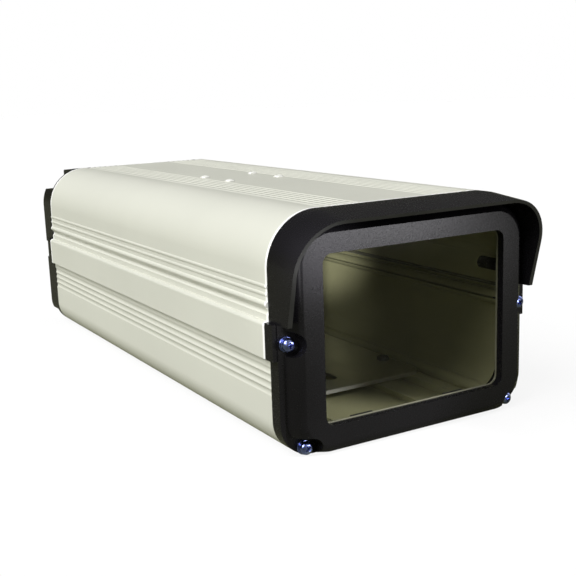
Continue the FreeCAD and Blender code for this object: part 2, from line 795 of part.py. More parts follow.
def make_front_cap():
    body = new_body("front_cap")
    flange = new_sketch(body, "flange")
    outline(flange, body_outline())
    pad(body, flange, s.flange_depth)
    tabs = new_sketch(body, "skirt_tabs")
    for side in (-1, 1):
        near = (half_width - s.wall) * side
        far = skirt_outer * side
        low, high = (near, far) if side > 0 else (far, near)
        outline(tabs, rectangle(low, high, skirt_bottom, s.skirt_top))
    pad(body, tabs, s.tab_depth)

    sections = []
    root_half = half_width - s.box_root_side_inset
    root_top = s.body_height - s.box_root_top_inset
    shoulder_half = half_width - s.box_shoulder_side_inset
    box_sections = (
        ("box_root", s.flange_depth, rectangle(-root_half, root_half, 0, root_top,
                                               s.bottom_radius)),
        ("box_shoulder", s.box_shoulder_depth,
         rectangle(-shoulder_half, shoulder_half, s.box_shoulder_drop,
                   bezel_top + s.box_shoulder_drop, s.bottom_radius - s.box_shoulder_drop / 2)),
        ("bezel", s.bezel_depth, rectangle(-bezel_half, bezel_half, bezel_low, bezel_top,
                                           s.bezel_radius)))
    for name, depth, corners in box_sections:
        section = new_sketch(body, name, offset=depth)
        outline(section, corners)
        sections.append(section)
    loft(body, "front_cap_box", sections)

    arches = []
    for name, depth, side_inset, top_inset, radius, wall in (
            ("hood_root", s.flange_depth, 0, 0, s.top_radius, s.hood_wall),
            ("hood_lip", s.hood_reach, s.hood_lip_side_inset, s.hood_lip_top_inset,
             s.hood_lip_radius, s.hood_lip_wall)):
        arch = new_sketch(body, name, offset=depth)
        outline(arch, hood_arch(side_inset, top_inset, radius, wall))
        arches.append(arch)
    loft(body, "hood", arches)
    rake = new_sketch(body, "hood_rake", "YZ_Plane")
    outline(rake, [
        (-s.hood_low_reach, s.skirt_top), (-s.hood_reach, s.body_height),
        (-s.hood_reach * 2, s.body_height), (-s.hood_reach * 2, s.skirt_top)])
    pocket(body, rake, both_ways=True)

    well = new_sketch(body, "front_well")
    outline(well, rectangle(-half_width + s.front_well_side_inset, half_width - s.front_well_side_inset,
                            s.front_well_low_inset, s.body_height - s.front_well_top_inset,
                            s.front_well_radius))
    pocket(body, well, s.front_well_depth, backwards=True)
    pegs = new_sketch(body, "pegs", offset=s.front_well_depth)
    circles(pegs, both_sides([(half_width - s.peg_inset, s.skirt_top + s.peg_rise)]), s.peg_radius)
    pad(body, pegs, s.peg_length + s.front_well_depth, backwards=True)

    window = new_sketch(body, "window_opening")
    outline(window, rectangle(-window_half, window_half, window_low, window_top, s.window_radius))
    pocket(body, window, both_ways=True)
    rebate = new_sketch(body, "glass_rebate")
    grow = rebate_margin
    outline(rebate, rectangle(-window_half - grow, window_half + grow, window_low - grow,
                              window_top + grow, s.window_radius))
    pocket(body, rebate, s.glass_depth, backwards=True)
    ledges = new_sketch(body, "clip_ledges")
    for side in (-1, 1):
        middle = clip_x * side
        half_clip = s.clip_width / 2 + s.glass_gap
        outline(ledges, rectangle(middle - half_clip, middle + half_clip,
                                  window_low - grow - s.clip_ledge, window_top + grow + s.clip_ledge))
    pocket(body, ledges, glass_back, backwards=True)
    clip_bores = new_sketch(body, "clip_screw_bores")
    circles(clip_bores, clip_screw_points(), s.clip_screw_radius + s.fit_gap)
    pocket(body, clip_bores, glass_back + s.clip_screw_length, backwards=True)

    gasket_sketches(body, None, as_size(0), s.gasket_thickness, True, cutting=True)
    cut_screw_pockets(body, s.flange_depth, backwards=False)
    bore_screw_holes(body)
    hinge_bore = new_sketch(body, "hinge_pin_bore")
    circles(hinge_bore, [(hinge_x, hinge_level)], s.hinge_pin_radius + s.fit_gap / 2)
    pocket(body, hinge_bore, s.hinge_pin_length - s.hinge_pin_reach, backwards=True)
    place(body, 0, -half_length, 0)


def cut_screw_pockets(body, floor_depth, backwards):
    """Open pockets that let the cap screws sit on the flange."""
    pockets = new_sketch(body, "screw_pockets", offset=-floor_depth if backwards else floor_depth)
    reach = s.pocket_radius
    beyond = half_width + s.skirt_stand * 2
    for side in (-1, 1):
        outline(pockets, [
            (beyond * side, side_screw_level - reach),
            ((side_screw_x - reach) * side, side_screw_level - reach, reach - s.fit_gap),
            ((side_screw_x - reach) * side, side_screw_level + reach, reach - s.fit_gap),
            (beyond * side, side_screw_level + reach)])
        outline(pockets, [
            (beyond * side, -reach),
            ((corner_screw_x - reach) * side, -reach),
            ((corner_screw_x - reach) * side, s.corner_screw_level + reach, reach - s.fit_gap),
            (beyond * side, s.corner_screw_level + reach)])
    pocket(body, pockets, s.rear_depth * 2, backwards=not backwards)


def bore_screw_holes(body):
    holes = new_sketch(body, "screw_holes")
    circles(holes, CAP_SCREWS, s.screw_hole_radius)
    pocket(body, holes, both_ways=True)


def clip_screw_points():
    grow = rebate_margin + s.clip_ledge / 2
    return both_sides([(clip_x, window_low - grow), (clip_x, window_top + grow)])


def make_window():
    """The glass, the flat seal in front of it, and the clips that press it forward."""
    lap = s.glass_overlap

    seal = new_body("window_seal")
    ring = new_sketch(seal, "ring", offset=s.glass_depth - s.window_seal_thickness)
    outline(ring, rectangle(-window_half - lap, window_half + lap, window_low - lap, window_top + lap,
                            s.window_radius))
    inset = s.window_seal_inset
    outline(ring, rectangle(-window_half - inset, window_half + inset, window_low - inset,
                            window_top + inset, s.window_radius))
    pad(seal, ring, s.window_seal_thickness)
    place(seal, 0, -half_length, 0)

    glass = new_body("window_glass")
    pane = new_sketch(glass, "pane", offset=glass_back)
    outline(pane, rectangle(-window_half - lap, window_half + lap, window_low - lap, window_top + lap,
                            s.window_radius))
    pad(glass, pane, s.glass_thickness)
    place(glass, 0, -half_length, 0)

    clips = []
    screws = []
    back_y = -half_length - glass_back
    for index, (x, z) in enumerate(clip_screw_points()):
        upward = z.number < window_low.number
        tail = s.clip_ledge / 2 - s.glass_gap
        reach = s.clip_cover + s.clip_ledge
        low = z - tail if upward else z + tail - reach
        plate = box(f"clip_plate_{index}", (x - s.clip_width / 2, back_y, low),
                    (s.clip_width, s.clip_thickness, reach))
        hole = cylinder(f"clip_hole_{index}", s.clip_screw_radius + s.fit_gap, s.clip_thickness * 3,
                        (x, back_y - s.clip_thickness, z), "y")
        clips.append(cut(f"clip_{index}", plate, [hole]))
        head = dome(f"clip_screw_head_{index}", s.clip_screw_head, s.clip_screw_head_height,
                    (x, back_y + s.clip_thickness, z), "y")
        shank = cylinder(f"clip_screw_shank_{index}", s.clip_screw_radius,
                         s.clip_screw_length + s.clip_thickness,
                         (x, back_y + s.clip_thickness, z), "-y")
        screws.append(joined(f"clip_screw_{index}", [head, shank]))
    subpart(group("glass_clips", clips), "glass_clips")
    subpart(group("glass_clip_screws", screws), "glass_clip_screws")


# Cap screws and their washers

def washer(name, radius, height, bore, base, along):
    disc = cylinder(f"{name}_disc", radius, height, base, along)
    hole = cylinder(f"{name}_bore", bore, height, base, along)
    return cut(name, disc, [hole])


def split_washer(name, radius, height, bore, base, along, gap):
    """A spring washer: a ring with a slanted split at its top."""
    x, y, z = base
    disc = cylinder(f"{name}_disc", radius, height, base, along)
    hole = cylinder(f"{name}_bore", bore, height, base, along)
    start = y if along == "y" else y - height
    slot = box(f"{name}_split", (x - gap / 2, start, z), (gap, height, radius * 1.2))
    return cut(name, disc, [hole, slot])


def cross_recess_screw(name, base, along, head_radius, head_height, shank_radius, length, recess):
    """A pan-head screw with a cross recess; base is the middle of the head's underside."""
    x, y, z = base
    outward = -1 if along == "-y" else 1
    inward = "y" if along == "-y" else "-y"
    neck = head_height / 2
    rim = cylinder(f"{name}_rim", head_radius, neck, base, along)
    crown = dome(f"{name}_crown", head_radius, head_height - neck, (x, y + neck * outward, z), along)
    shank = cylinder(f"{name}_shank", shank_radius, length, base, inward)
    solid = joined(f"{name}_solid", [rim, crown, shank])
    depth = head_height / 2
    blade = recess / 2.5
    bottom = y + depth if outward > 0 else y - head_height * 1.2
    level = box(f"{name}_recess_level", (x - recess, bottom, z - blade / 2),
                (recess * 2, head_height * 1.2 - depth, blade))
    upright = box(f"{name}_recess_upright", (x - blade / 2, bottom, z - recess),
                  (blade, head_height * 1.2 - depth, recess * 2))
    return cut(name, solid, [level, upright])


def make_cap_screws(end):
    """The four screws of one cap, each with a spring washer on a flat washer."""
    prefix = "front" if end < 0 else "rear"
    outward = "-y" if end < 0 else "y"
    depth = s.flange_depth if end < 0 else s.rear_flange_depth
    seat = (half_length + depth) * end
    flat_washers, spring_washers, screws = [], [], []
    shank = s.channel_bore - s.fit_gap
    for index, (x, z) in enumerate(CAP_SCREWS):
        flat_washers.append(washer(f"{prefix}_flat_{index}", s.flat_washer_radius,
                                   s.flat_washer_height, s.screw_hole_radius, (x, seat, z), outward))
        second = seat + s.flat_washer_height * end
        spring_washers.append(split_washer(
            f"{prefix}_spring_{index}", s.spring_washer_radius, s.spring_washer_height,
            s.screw_hole_radius, (x, second, z), outward, s.spring_washer_height))
        third = second + s.spring_washer_height * end
        screws.append(cross_recess_screw(f"{prefix}_screw_{index}", (x, third, z), outward,
                                         s.screw_head_radius, s.screw_head_height, shank,
                                         s.screw_length, s.screw_recess_radius))
    subpart(group(f"{prefix}_flat_washers", flat_washers), f"{prefix}_flat_washers")
    subpart(group(f"{prefix}_spring_washers", spring_washers), f"{prefix}_spring_washers")
    subpart(group(f"{prefix}_cap_screws", screws), f"{prefix}_cap_screws")


# Rear cap

def make_rear_cap():
    body = new_body("rear_cap")
    block = new_sketch(body, "block")
    outline(block, body_outline())
    solid = pad(body, block, s.rear_depth, backwards=True)
    doc.recompute()
    rear_edges = [f"Edge{index}" for index, edge in enumerate(solid.Shape.Edges, start=1)
                  if all(abs(vertex.Y - s.rear_depth.number) < 1e-6 for vertex in edge.Vertexes)]
    rounding = body.newObject("PartDesign::Fillet", "rear_cap_edge_round")
    rounding.Base = (solid, rear_edges)
    bind(rounding, "Radius", s.rear_edge_round)
    tabs = new_sketch(body, "skirt_tabs")
    for side in (-1, 1):
        near = (half_width - s.wall) * side
        far = skirt_outer * side
        low, high = (near, far) if side > 0 else (far, near)
        outline(tabs, rectangle(low, high, skirt_bottom, s.skirt_top))
    pad(body, tabs, s.rear_flange_depth, backwards=True)

    hollow = new_sketch(body, "hollow")
    hollow_half = half_width - s.rear_hollow_side_inset
    hollow_low = s.rear_hollow_bottom_inset
    hollow_top = s.body_height - s.rear_hollow_top_inset
    outline(hollow, [
        (-hollow_half, hollow_low, s.bottom_radius),
        (hollow_half, hollow_low, s.bottom_radius),
        (hollow_half, hollow_top, s.rear_hollow_radius),
        (-hollow_half, hollow_top, s.rear_hollow_radius)])
    pocket(body, hollow, s.rear_depth - s.rear_wall)

    reliefs = new_sketch(body, "top_reliefs", offset=-s.rear_relief_floor)
    relief_x = half_width - s.rear_relief_side_inset
    relief_level = s.body_height - s.rear_relief_top_inset
    for side in (-1, 1):
        outline(reliefs, [
            (relief_x * side, s.body_height * 1.2),
            (relief_x * side, relief_level, s.rear_relief_radius),
            (half_width * 1.2 * side, relief_level),
            (half_width * 1.2 * side, s.body_height * 1.2)])
    pocket(body, reliefs, s.rear_depth * 2)

    for name, depth, drop in (("flange_top", 0, s.rear_flange_top_drop),
                              ("block_top", s.rear_flange_depth, s.rear_block_top_drop)):
        shelf = new_sketch(body, name, offset=-as_size(depth))
        outline(shelf, rectangle(-half_width, half_width, s.body_height - drop, s.body_height * 1.2))
        pocket(body, shelf, s.rear_depth * 2)

    gland_holes = new_sketch(body, "gland_holes")
    circles(gland_holes, [(x, s.gland_level) for x in gland_places()], s.gland_thread_radius + s.fit_gap)
    pocket(body, gland_holes, both_ways=True)
    gasket_sketches(body, None, as_size(0), s.gasket_thickness, False, cutting=True)
    cut_screw_pockets(body, s.rear_flange_depth, backwards=True)
    bore_screw_holes(body)
    hinge_bore = new_sketch(body, "hinge_pin_bore")
    circles(hinge_bore, [(hinge_x, hinge_level)], s.hinge_pin_radius + s.fit_gap / 2)
    pocket(body, hinge_bore, s.rear_flange_depth)
    place(body, 0, half_length, 0)


# Cable glands in the rear cap

def gland_places():
    return [-s.gland_pitch, as_size(0), s.gland_pitch]


def make_glands():
    outer_face = half_length + s.rear_depth
    inner_face = outer_face - s.rear_wall
    for name, x in zip(("left_gland", "middle_gland", "right_gland"), gland_places()):
        at = (x, outer_face, s.gland_level)
        thread_length = s.rear_wall + s.gland_lock_height + s.running_gap * 5
        thread = cylinder(f"{name}_thread", s.gland_thread_radius, thread_length, at, "-y")
        hex_flange = hexagon(f"{name}_hex", s.gland_hex, s.gland_hex_height, at, "y")
        neck_start = outer_face + s.gland_hex_height
        neck = cylinder(f"{name}_neck", s.gland_neck_radius, s.gland_neck_height,
                        (x, neck_start, s.gland_level), "y")
        shell = joined(f"{name}_shell", [thread, hex_flange, neck])
        passage = cylinder(f"{name}_passage", s.gland_bore, s.rear_depth * 3,
                           (x, outer_face - s.rear_depth, s.gland_level), "y")
        seal_seat = neck_start + s.gland_neck_height - s.gland_seal_length * 0.6
        seal_outer = s.gland_neck_radius - s.running_gap * 4
        seat = cylinder(f"{name}_seal_seat", seal_outer, s.gland_seal_length * 2,
                        (x, seal_seat, s.gland_level), "y")
        subpart(cut(f"{name}_body", shell, [passage, seat]), f"{name}_body")

        seal_disc = cylinder(f"{name}_seal_disc", seal_outer, s.gland_seal_length,
                             (x, seal_seat, s.gland_level), "y")
        seal_hole = cylinder(f"{name}_seal_hole", s.gland_seal_bore, s.gland_seal_length,
                             (x, seal_seat, s.gland_level), "y")
        subpart(cut(f"{name}_seal", seal_disc, [seal_hole]), f"{name}_seal")

        nut_start = neck_start + s.running_gap
        grip = s.gland_nut_height * 0.6
        nut_hex = hexagon(f"{name}_nut_hex", s.gland_hex, grip, (x, nut_start, s.gland_level), "y")
        nut_dome = dome(f"{name}_nut_dome", s.gland_hex / 2, s.gland_nut_height - grip,
                        (x, nut_start + grip, s.gland_level), "y")
        nut_shell = joined(f"{name}_nut_shell", [nut_hex, nut_dome])
        cavity_end = seal_seat + s.gland_seal_length
        cavity = cylinder(f"{name}_nut_cavity", s.gland_neck_radius + s.fit_gap,
                          neck_start + s.gland_neck_height - nut_start + s.fit_gap,
                          (x, nut_start, s.gland_level), "y")
        seal_room = cylinder(f"{name}_nut_seal_room", seal_outer + s.fit_gap, cavity_end - nut_start,
                             (x, nut_start, s.gland_level), "y")
        mouth = cylinder(f"{name}_nut_mouth", s.gland_nut_mouth, s.gland_nut_height * 2,
                         (x, nut_start, s.gland_level), "y")
        subpart(cut(f"{name}_dome_nut", nut_shell, [cavity, seal_room, mouth]), f"{name}_dome_nut")

        lock = hexagon(f"{name}_lock_hex", s.gland_hex, s.gland_lock_height,
                       (x, inner_face, s.gland_level), "-y")
        lock_bore = cylinder(f"{name}_lock_bore", s.gland_thread_radius + s.fit_gap,
                             s.gland_lock_height, (x, inner_face, s.gland_level), "-y")
        subpart(cut(f"{name}_lock_nut", lock, [lock_bore]), f"{name}_lock_nut")


# Camera sled on the floor rails

def make_camera_sled():
    body = new_body("camera_sled")
    plate = new_sketch(body, "plate", "XY_Plane")
    outline(plate, rectangle(-sled_half, sled_half, sled_front, sled_rear, s.sled_corner_radius))
    pad(body, plate, s.sled_thickness)
    slot = new_sketch(body, "camera_slot", "XY_Plane")
    slot_side = s.sled_slot_width / 2
    outline(slot, rectangle(-slot_side, slot_side, sled_slot_front, sled_slot_rear,
                            slot_side - s.fit_gap))
    pocket(body, slot, both_ways=True)
    holes = new_sketch(body, "screw_holes", "XY_Plane")
    circles(holes, sled_screw_points(), s.sled_screw_radius + s.running_gap)
    half_x = s.bracket_pitch_x / 2
    half_y = s.bracket_pitch_y / 2
    circles(holes, both_sides([(half_x, half_y), (half_x, -half_y)]), s.bracket_hole_radius * 1.6)
    pocket(body, holes, both_ways=True)
    place(body, 0, 0, sled_level)

    screws = []
    top = sled_level + s.sled_thickness
    for index, (x, y) in enumerate(sled_screw_points()):
        head = dome(f"sled_screw_head_{index}", s.sled_screw_head, s.sled_screw_head_height, (x, y, top))
        shank = cylinder(f"sled_screw_shank_{index}", s.sled_screw_radius, s.sled_screw_length,
                         (x, y, top), "-z")
        screws.append(joined(f"sled_screw_{index}", [head, shank]))
    subpart(group("sled_screws", screws), "sled_screws")

    under = sled_level - s.camera_washer_height
    at = (0, camera_screw_y, under)
    head = cylinder("camera_screw_head", s.camera_screw_head, s.camera_screw_head_height, at, "-z")
    neck_length = s.camera_washer_height + s.sled_thickness + s.running_gap
    neck = cylinder("camera_screw_neck", s.camera_screw_neck, neck_length, at)
    stud = cylinder("camera_screw_stud", s.camera_screw_radius, s.camera_screw_reach - s.running_gap,
                    (0, camera_screw_y, under + neck_length))
    slot_cut = box("camera_screw_slot",
                   (-s.camera_screw_head, camera_screw_y - s.fit_gap * 10,
                    under - s.camera_screw_head_height),
                   (s.camera_screw_head * 2, s.fit_gap * 20, s.camera_screw_head_height / 2.5))
    screw = cut("camera_screw", joined("camera_screw_solid", [head, neck, stud]), [slot_cut])
    subpart(screw, "camera_screw")
    ring = washer("camera_screw_washer", s.camera_washer_radius, s.camera_washer_height,
                  s.camera_screw_radius + s.fit_gap, at, "z")
    subpart(ring, "camera_screw_washer")


# Rivets that close the roof's spare holes

def make_roof_rivets():
    rivets = []
    for index, (x, y) in enumerate(roof_rivet_points()):
        head = dome(f"roof_rivet_head_{index}", s.roof_rivet_head, s.roof_rivet_head_height,
                    (x, y, s.body_height))
        shank = cylinder(f"roof_rivet_shank_{index}", s.roof_rivet_shank,
                         s.wall + s.roof_rivet_tail_length, (x, y, s.body_height), "-z")
        tail = cylinder(f"roof_rivet_tail_{index}", s.roof_rivet_tail, s.roof_rivet_tail_length,
                        (x, y, s.body_height - s.wall), "-z")
        rivets.append(joined(f"roof_rivet_{index}", [head, shank, tail]))
    subpart(group("roof_rivets", rivets), "roof_rivets")


# Pins that the cover's skirt turns on, one in each cap

def make_hinge_pins():
    reach = s.hinge_pin_reach
    front = cylinder("front_hinge_pin", s.hinge_pin_radius, s.hinge_pin_length,
                     (hinge_x, -half_length + reach, hinge_level), "-y")
    subpart(front, "front_hinge_pin")
    rear_length = reach + s.rear_flange_depth
    rear = cylinder("rear_hinge_pin", s.hinge_pin_radius, rear_length,
                    (hinge_x, half_length - reach, hinge_level), "y")
    subpart(rear, "rear_hinge_pin")


# Spring latches on the right wall

def make_latch(end):
    prefix = "front" if end < 0 else "rear"
    middle = latch_y * end
    pivot_x = half_width + s.latch_pivot_stand
    half_plate = s.latch_plate_length / 2
    ear_gap = s.latch_hook_width / 2 + s.running_gap
    ear_top = latch_pivot_level + s.latch_barrel_radius + s.running_gap * 2

    plate = box(f"{prefix}_latch_plate", (half_width, middle - half_plate, latch_plate_bottom),
                (s.latch_plate, s.latch_plate_length, latch_plate_top - latch_plate_bottom))
    ears = []
    holes = []
    for side in (-1, 1):
        face = middle + ear_gap * side
        low = face if side > 0 else face - s.latch_plate
        ear_height = (ear_top - latch_pivot_level) * 2
        ears.append(box(f"{prefix}_latch_ear_{side + 1}",
                        (half_width, low, latch_pivot_level - ear_height / 2),
                        (s.latch_pivot_stand, s.latch_plate, ear_height)))
        ears.append(cylinder(f"{prefix}_latch_ear_end_{side + 1}", ear_height / 2, s.latch_plate,
                             (pivot_x, low, latch_pivot_level), "y"))
    pin_hole = cylinder(f"{prefix}_latch_pin_hole", s.latch_pin_radius + s.fit_gap / 2,
                        s.latch_plate_length, (pivot_x, middle - half_plate, latch_pivot_level), "y")
    holes.append(pin_hole)
    for index, step in enumerate((-1, 1)):
        y = middle + s.latch_rivet_pitch / 2 * step
        holes.append(cylinder(f"{prefix}_latch_rivet_hole_{index}", s.latch_rivet_shank + s.fit_gap,
                              s.latch_plate * 3,
                              (half_width - s.latch_plate, y, latch_rivet_level), "x"))
    base = cut(f"{prefix}_latch_base", joined(f"{prefix}_latch_base_solid", [plate] + ears), holes)
    subpart(base, f"{prefix}_latch_base")

    pin_length = (ear_gap + s.latch_plate) * 2
    pin = cylinder(f"{prefix}_latch_pin", s.latch_pin_radius, pin_length,
                   (pivot_x, middle - pin_length / 2, latch_pivot_level), "y")
    subpart(pin, f"{prefix}_latch_pin")

    # The hook is drawn latched, about its own pivot, and then swung down to its rest place.
    hook = new_body(f"{prefix}_latch_hook")
    inner_x = skirt_outer + s.latch_strip_gap - pivot_x
    outer_x = inner_x + s.latch_strip
    nose_low = s.skirt_top + s.running_gap - latch_pivot_level
    nose_x = half_width + s.skirt_stand - s.latch_nose_reach - pivot_x
    top = nose_low + s.latch_tab_rise
    barrel = new_sketch(hook, "barrel")
    circles(barrel, [(0, 0)], s.latch_barrel_radius)
    pad(hook, barrel, s.latch_hook_width, both_ways=True)
    strip = new_sketch(hook, "strip")
    outline(strip, [
        (inner_x, 0), (outer_x, 0), (outer_x, nose_low + s.latch_strip),
        (outer_x + s.latch_tab_flare, top), (inner_x + s.latch_tab_flare, top + s.latch_strip / 2),
        (inner_x, nose_low + s.latch_strip * 2), (inner_x, nose_low + s.latch_strip),
        (nose_x, nose_low + s.latch_strip), (nose_x, nose_low), (inner_x, nose_low)])
    pad(hook, strip, s.latch_hook_width, both_ways=True)
    bore = new_sketch(hook, "pin_bore")
    circles(bore, [(0, 0)], s.latch_pin_radius + s.fit_gap)
    pocket(hook, bore, both_ways=True)
    place(hook, pivot_x, middle, latch_pivot_level, Rotation(Vector(0, 1, 0), s.latch_swing.number))
    bind(hook, "Placement.Rotation.Angle", s.latch_swing)


def make_latch_rivets():
    """Studs pressed into the wall from outside, so that the inner face stays whole."""
    rivets = []
    for index, (y, z) in enumerate(latch_rivet_points()):
        outer = half_width + s.latch_plate
        head = dome(f"latch_rivet_head_{index}", s.latch_rivet_head, s.latch_rivet_head_height,
                    (outer, y, z), "x")
        grip = s.latch_plate + s.latch_rivet_bite
        shank = cylinder(f"latch_rivet_shank_{index}", s.latch_rivet_shank, grip, (outer, y, z), "-x")
        rivets.append(joined(f"latch_rivet_{index}", [head, shank]))
    subpart(group("latch_rivets", rivets), "latch_rivets")


def check_and_export():
    """Stops on any failed object or bad shape, then writes each sub-part's file."""
    doc.recompute()
    for item in doc.Objects:
        if "Invalid" in item.State or "Error" in item.State:
            raise RuntimeError(f"{item.Label} failed: {item.State}")
    for target in SUBPARTS:
        if target.Shape.isNull() or not target.Shape.isValid():
            raise RuntimeError(f"{target.Label} has no valid shape")
        if not target.Shape.Solids:
            raise RuntimeError(f"{target.Label} has no solid")
    os.makedirs("parts", exist_ok=True)
    for target in SUBPARTS:
        target.Shape.exportStep(os.path.join("parts", f"{target.Label}.step"))


make_lower_tray()
make_upper_cover()
make_rim_seals()
make_front_cap()
make_gasket("front_cap_gasket", -1)
make_window()
make_cap_screws(-1)
make_rear_cap()
make_gasket("rear_cap_gasket", 1)
make_cap_screws(1)
make_glands()
make_camera_sled()
make_roof_rivets()
make_hinge_pins()
make_latch(-1)
make_latch(1)
make_latch_rivets()
check_and_export()
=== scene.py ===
"""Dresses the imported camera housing: paint, moulded caps, window, screws, glands and latches."""

import json
import math

import bmesh
import bpy
from bpy.props import FloatProperty, FloatVectorProperty, IntProperty, PointerProperty
from mathutils import Matrix, Vector

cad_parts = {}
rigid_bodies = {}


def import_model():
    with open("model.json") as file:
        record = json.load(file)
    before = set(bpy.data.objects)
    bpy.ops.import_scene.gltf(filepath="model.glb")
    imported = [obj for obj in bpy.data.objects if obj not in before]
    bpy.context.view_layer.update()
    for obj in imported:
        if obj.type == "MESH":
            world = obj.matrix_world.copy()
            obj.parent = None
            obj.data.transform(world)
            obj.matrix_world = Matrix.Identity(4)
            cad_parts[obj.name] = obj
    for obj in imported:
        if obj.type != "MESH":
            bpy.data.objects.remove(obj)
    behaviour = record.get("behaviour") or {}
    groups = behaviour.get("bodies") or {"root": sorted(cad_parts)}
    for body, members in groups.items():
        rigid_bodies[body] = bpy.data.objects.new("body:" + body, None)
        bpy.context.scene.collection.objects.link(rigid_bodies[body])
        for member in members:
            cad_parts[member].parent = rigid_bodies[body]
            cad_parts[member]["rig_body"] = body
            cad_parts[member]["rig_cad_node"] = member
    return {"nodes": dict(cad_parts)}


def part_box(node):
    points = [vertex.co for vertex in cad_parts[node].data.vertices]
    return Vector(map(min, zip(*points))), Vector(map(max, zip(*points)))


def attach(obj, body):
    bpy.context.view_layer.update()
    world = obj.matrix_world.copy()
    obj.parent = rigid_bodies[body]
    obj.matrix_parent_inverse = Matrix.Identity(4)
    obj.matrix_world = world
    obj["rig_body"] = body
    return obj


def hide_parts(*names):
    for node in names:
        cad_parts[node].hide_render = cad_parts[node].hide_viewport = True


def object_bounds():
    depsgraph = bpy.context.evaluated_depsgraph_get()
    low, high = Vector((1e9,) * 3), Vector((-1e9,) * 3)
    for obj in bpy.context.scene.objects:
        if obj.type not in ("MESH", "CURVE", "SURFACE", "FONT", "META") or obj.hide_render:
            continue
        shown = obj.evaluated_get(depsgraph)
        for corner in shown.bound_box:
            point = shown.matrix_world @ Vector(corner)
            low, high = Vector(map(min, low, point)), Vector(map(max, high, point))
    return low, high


bl_info = {
    "name": "Camera housing dressing",
    "version": (1, 0, 0),
    "blender": (4, 5, 0),
    "location": "View3D > Sidebar > Housing",
    "description": "Finishes the extruded camera housing piece by piece around its CAD frame",
    "category": "Object",
}

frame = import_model()
CAD_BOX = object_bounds()
MM = 0.001
MERGE_GAP = 0.001 * MM


# Sizes and colours that a user would change

class HousingSizes(bpy.types.PropertyGroup):
    extrusion_edge: FloatProperty(
        name="Extrusion edge", description="Break on the sawn ends of the extrusions",
        default=0.6 * MM, unit="LENGTH")
    # Width of the near-white strip beside the cover's sawn ends, a painted highlight line
    highlight_strip: FloatProperty(
        name="Bare strip", description="How far the paint stops short of the sawn ends",
        default=1.5 * MM, unit="LENGTH")
    cap_edge: FloatProperty(
        name="Cap edge", description="Rounding of the moulded caps' edges",
        default=0.6 * MM, unit="LENGTH")
    sheet_edge: FloatProperty(
        name="Sheet edge", description="Rounding of stamped sheet parts",
        default=0.2 * MM, unit="LENGTH")
    rubber_edge: FloatProperty(
        name="Rubber edge", description="Rounding of seals and gaskets",
        default=0.35 * MM, unit="LENGTH")
    recess_share: FloatProperty(
        name="Recess", description="Reach of a screw's cross recess as a share of its head",
        default=0.56, subtype="FACTOR", min=0, max=1)
    washer_split: FloatProperty(
        name="Washer split", description="Angle of the gap in a spring washer",
        default=math.radians(14), subtype="ANGLE")
    grip_ribs: IntProperty(
        name="Grip ribs", description="Ribs round each gland's dome nut", default=24)
    thread_pitch: FloatProperty(
        name="Thread pitch", description="Pitch of the camera screw's thread",
        default=1.27 * MM, unit="LENGTH")


class HousingFinish(bpy.types.PropertyGroup):
    paint: FloatVectorProperty(
        name="Paint", description="Warm light grey of the extrusions", subtype="COLOR",
        size=3, min=0, max=1, default=(0.620, 0.625, 0.555))
    # Inside: a darker, more olive copy of the paint, painted shade for the dim inside of the extrusions
    lining: FloatVectorProperty(
        name="Inside", description="Olive conversion coat inside the extrusions", subtype="COLOR",
        size=3, min=0, max=1, default=(0.360, 0.354, 0.195))
    cap: FloatVectorProperty(
        name="Caps", description="Black of the moulded caps", subtype="COLOR",
        size=3, min=0, max=1, default=(0.0060, 0.0056, 0.0068))
    rubber: FloatVectorProperty(
        name="Rubber", description="Cap gaskets and gland seals", subtype="COLOR",
        size=3, min=0, max=1, default=(0.010, 0.010, 0.010))
    silicone: FloatVectorProperty(
        name="Silicone", description="Olive grey silicone of rim and window seals", subtype="COLOR",
        size=3, min=0, max=1, default=(0.130, 0.128, 0.088))
    zinc: FloatVectorProperty(
        name="Zinc", description="Bright blue zinc plate of the screws", subtype="COLOR",
        size=3, min=0, max=1, default=(0.22, 0.27, 0.62))
    blackened: FloatVectorProperty(
        name="Blackened steel", description="Clips, and the screws inside", subtype="COLOR",
        size=3, min=0, max=1, default=(0.060, 0.060, 0.062))
    steel: FloatVectorProperty(
        name="Steel", description="Brushed steel of latches and pins", subtype="COLOR",
        size=3, min=0, max=1, default=(0.58, 0.58, 0.57))
    aluminium: FloatVectorProperty(
        name="Aluminium", description="Mill finish of the camera sled", subtype="COLOR",
        size=3, min=0, max=1, default=(0.66, 0.66, 0.63))
    glass: FloatVectorProperty(
        name="Glass", description="Tint of the window", subtype="COLOR",
        size=3, min=0, max=1, default=(0.014, 0.014, 0.010))
    gland: FloatVectorProperty(
        name="Glands", description="Black nylon of the cable glands", subtype="COLOR",
        size=3, min=0, max=1, default=(0.022, 0.022, 0.024))
    floor: FloatVectorProperty(
        name="Floor", description="Studio floor", subtype="COLOR",
        size=3, min=0, max=1, default=(0.90, 0.90, 0.90))


def sizes():
    """The sizes as the panel has them."""
    return bpy.context.scene.housing_sizes


def finish():
    """The colours as the panel has them."""
    return bpy.context.scene.housing_finish


# Selection and modelling helpers

def select_only(obj):
    """Makes one object the only selected one, in object mode."""
    if bpy.context.object and bpy.context.object.mode != "OBJECT":
        bpy.ops.object.mode_set(mode="OBJECT")
    bpy.ops.object.select_all(action="DESELECT")
    obj.select_set(True)
    bpy.context.view_layer.objects.active = obj


def start_edit(obj, kind="FACE"):
    """Edit mode with nothing selected."""
    select_only(obj)
    bpy.ops.object.mode_set(mode="EDIT")
    bpy.ops.mesh.select_mode(type=kind)
    bpy.ops.mesh.select_all(action="DESELECT")


def end_edit():
    """Back to object mode."""
    bpy.ops.object.mode_set(mode="OBJECT")


def pick_faces(obj, wanted):
    """Selects the faces for which wanted(face) is true."""
    mesh = bmesh.from_edit_mesh(obj.data)
    for face in mesh.faces:
        face.select_set(bool(wanted(face)))
    bmesh.update_edit_mesh(obj.data)


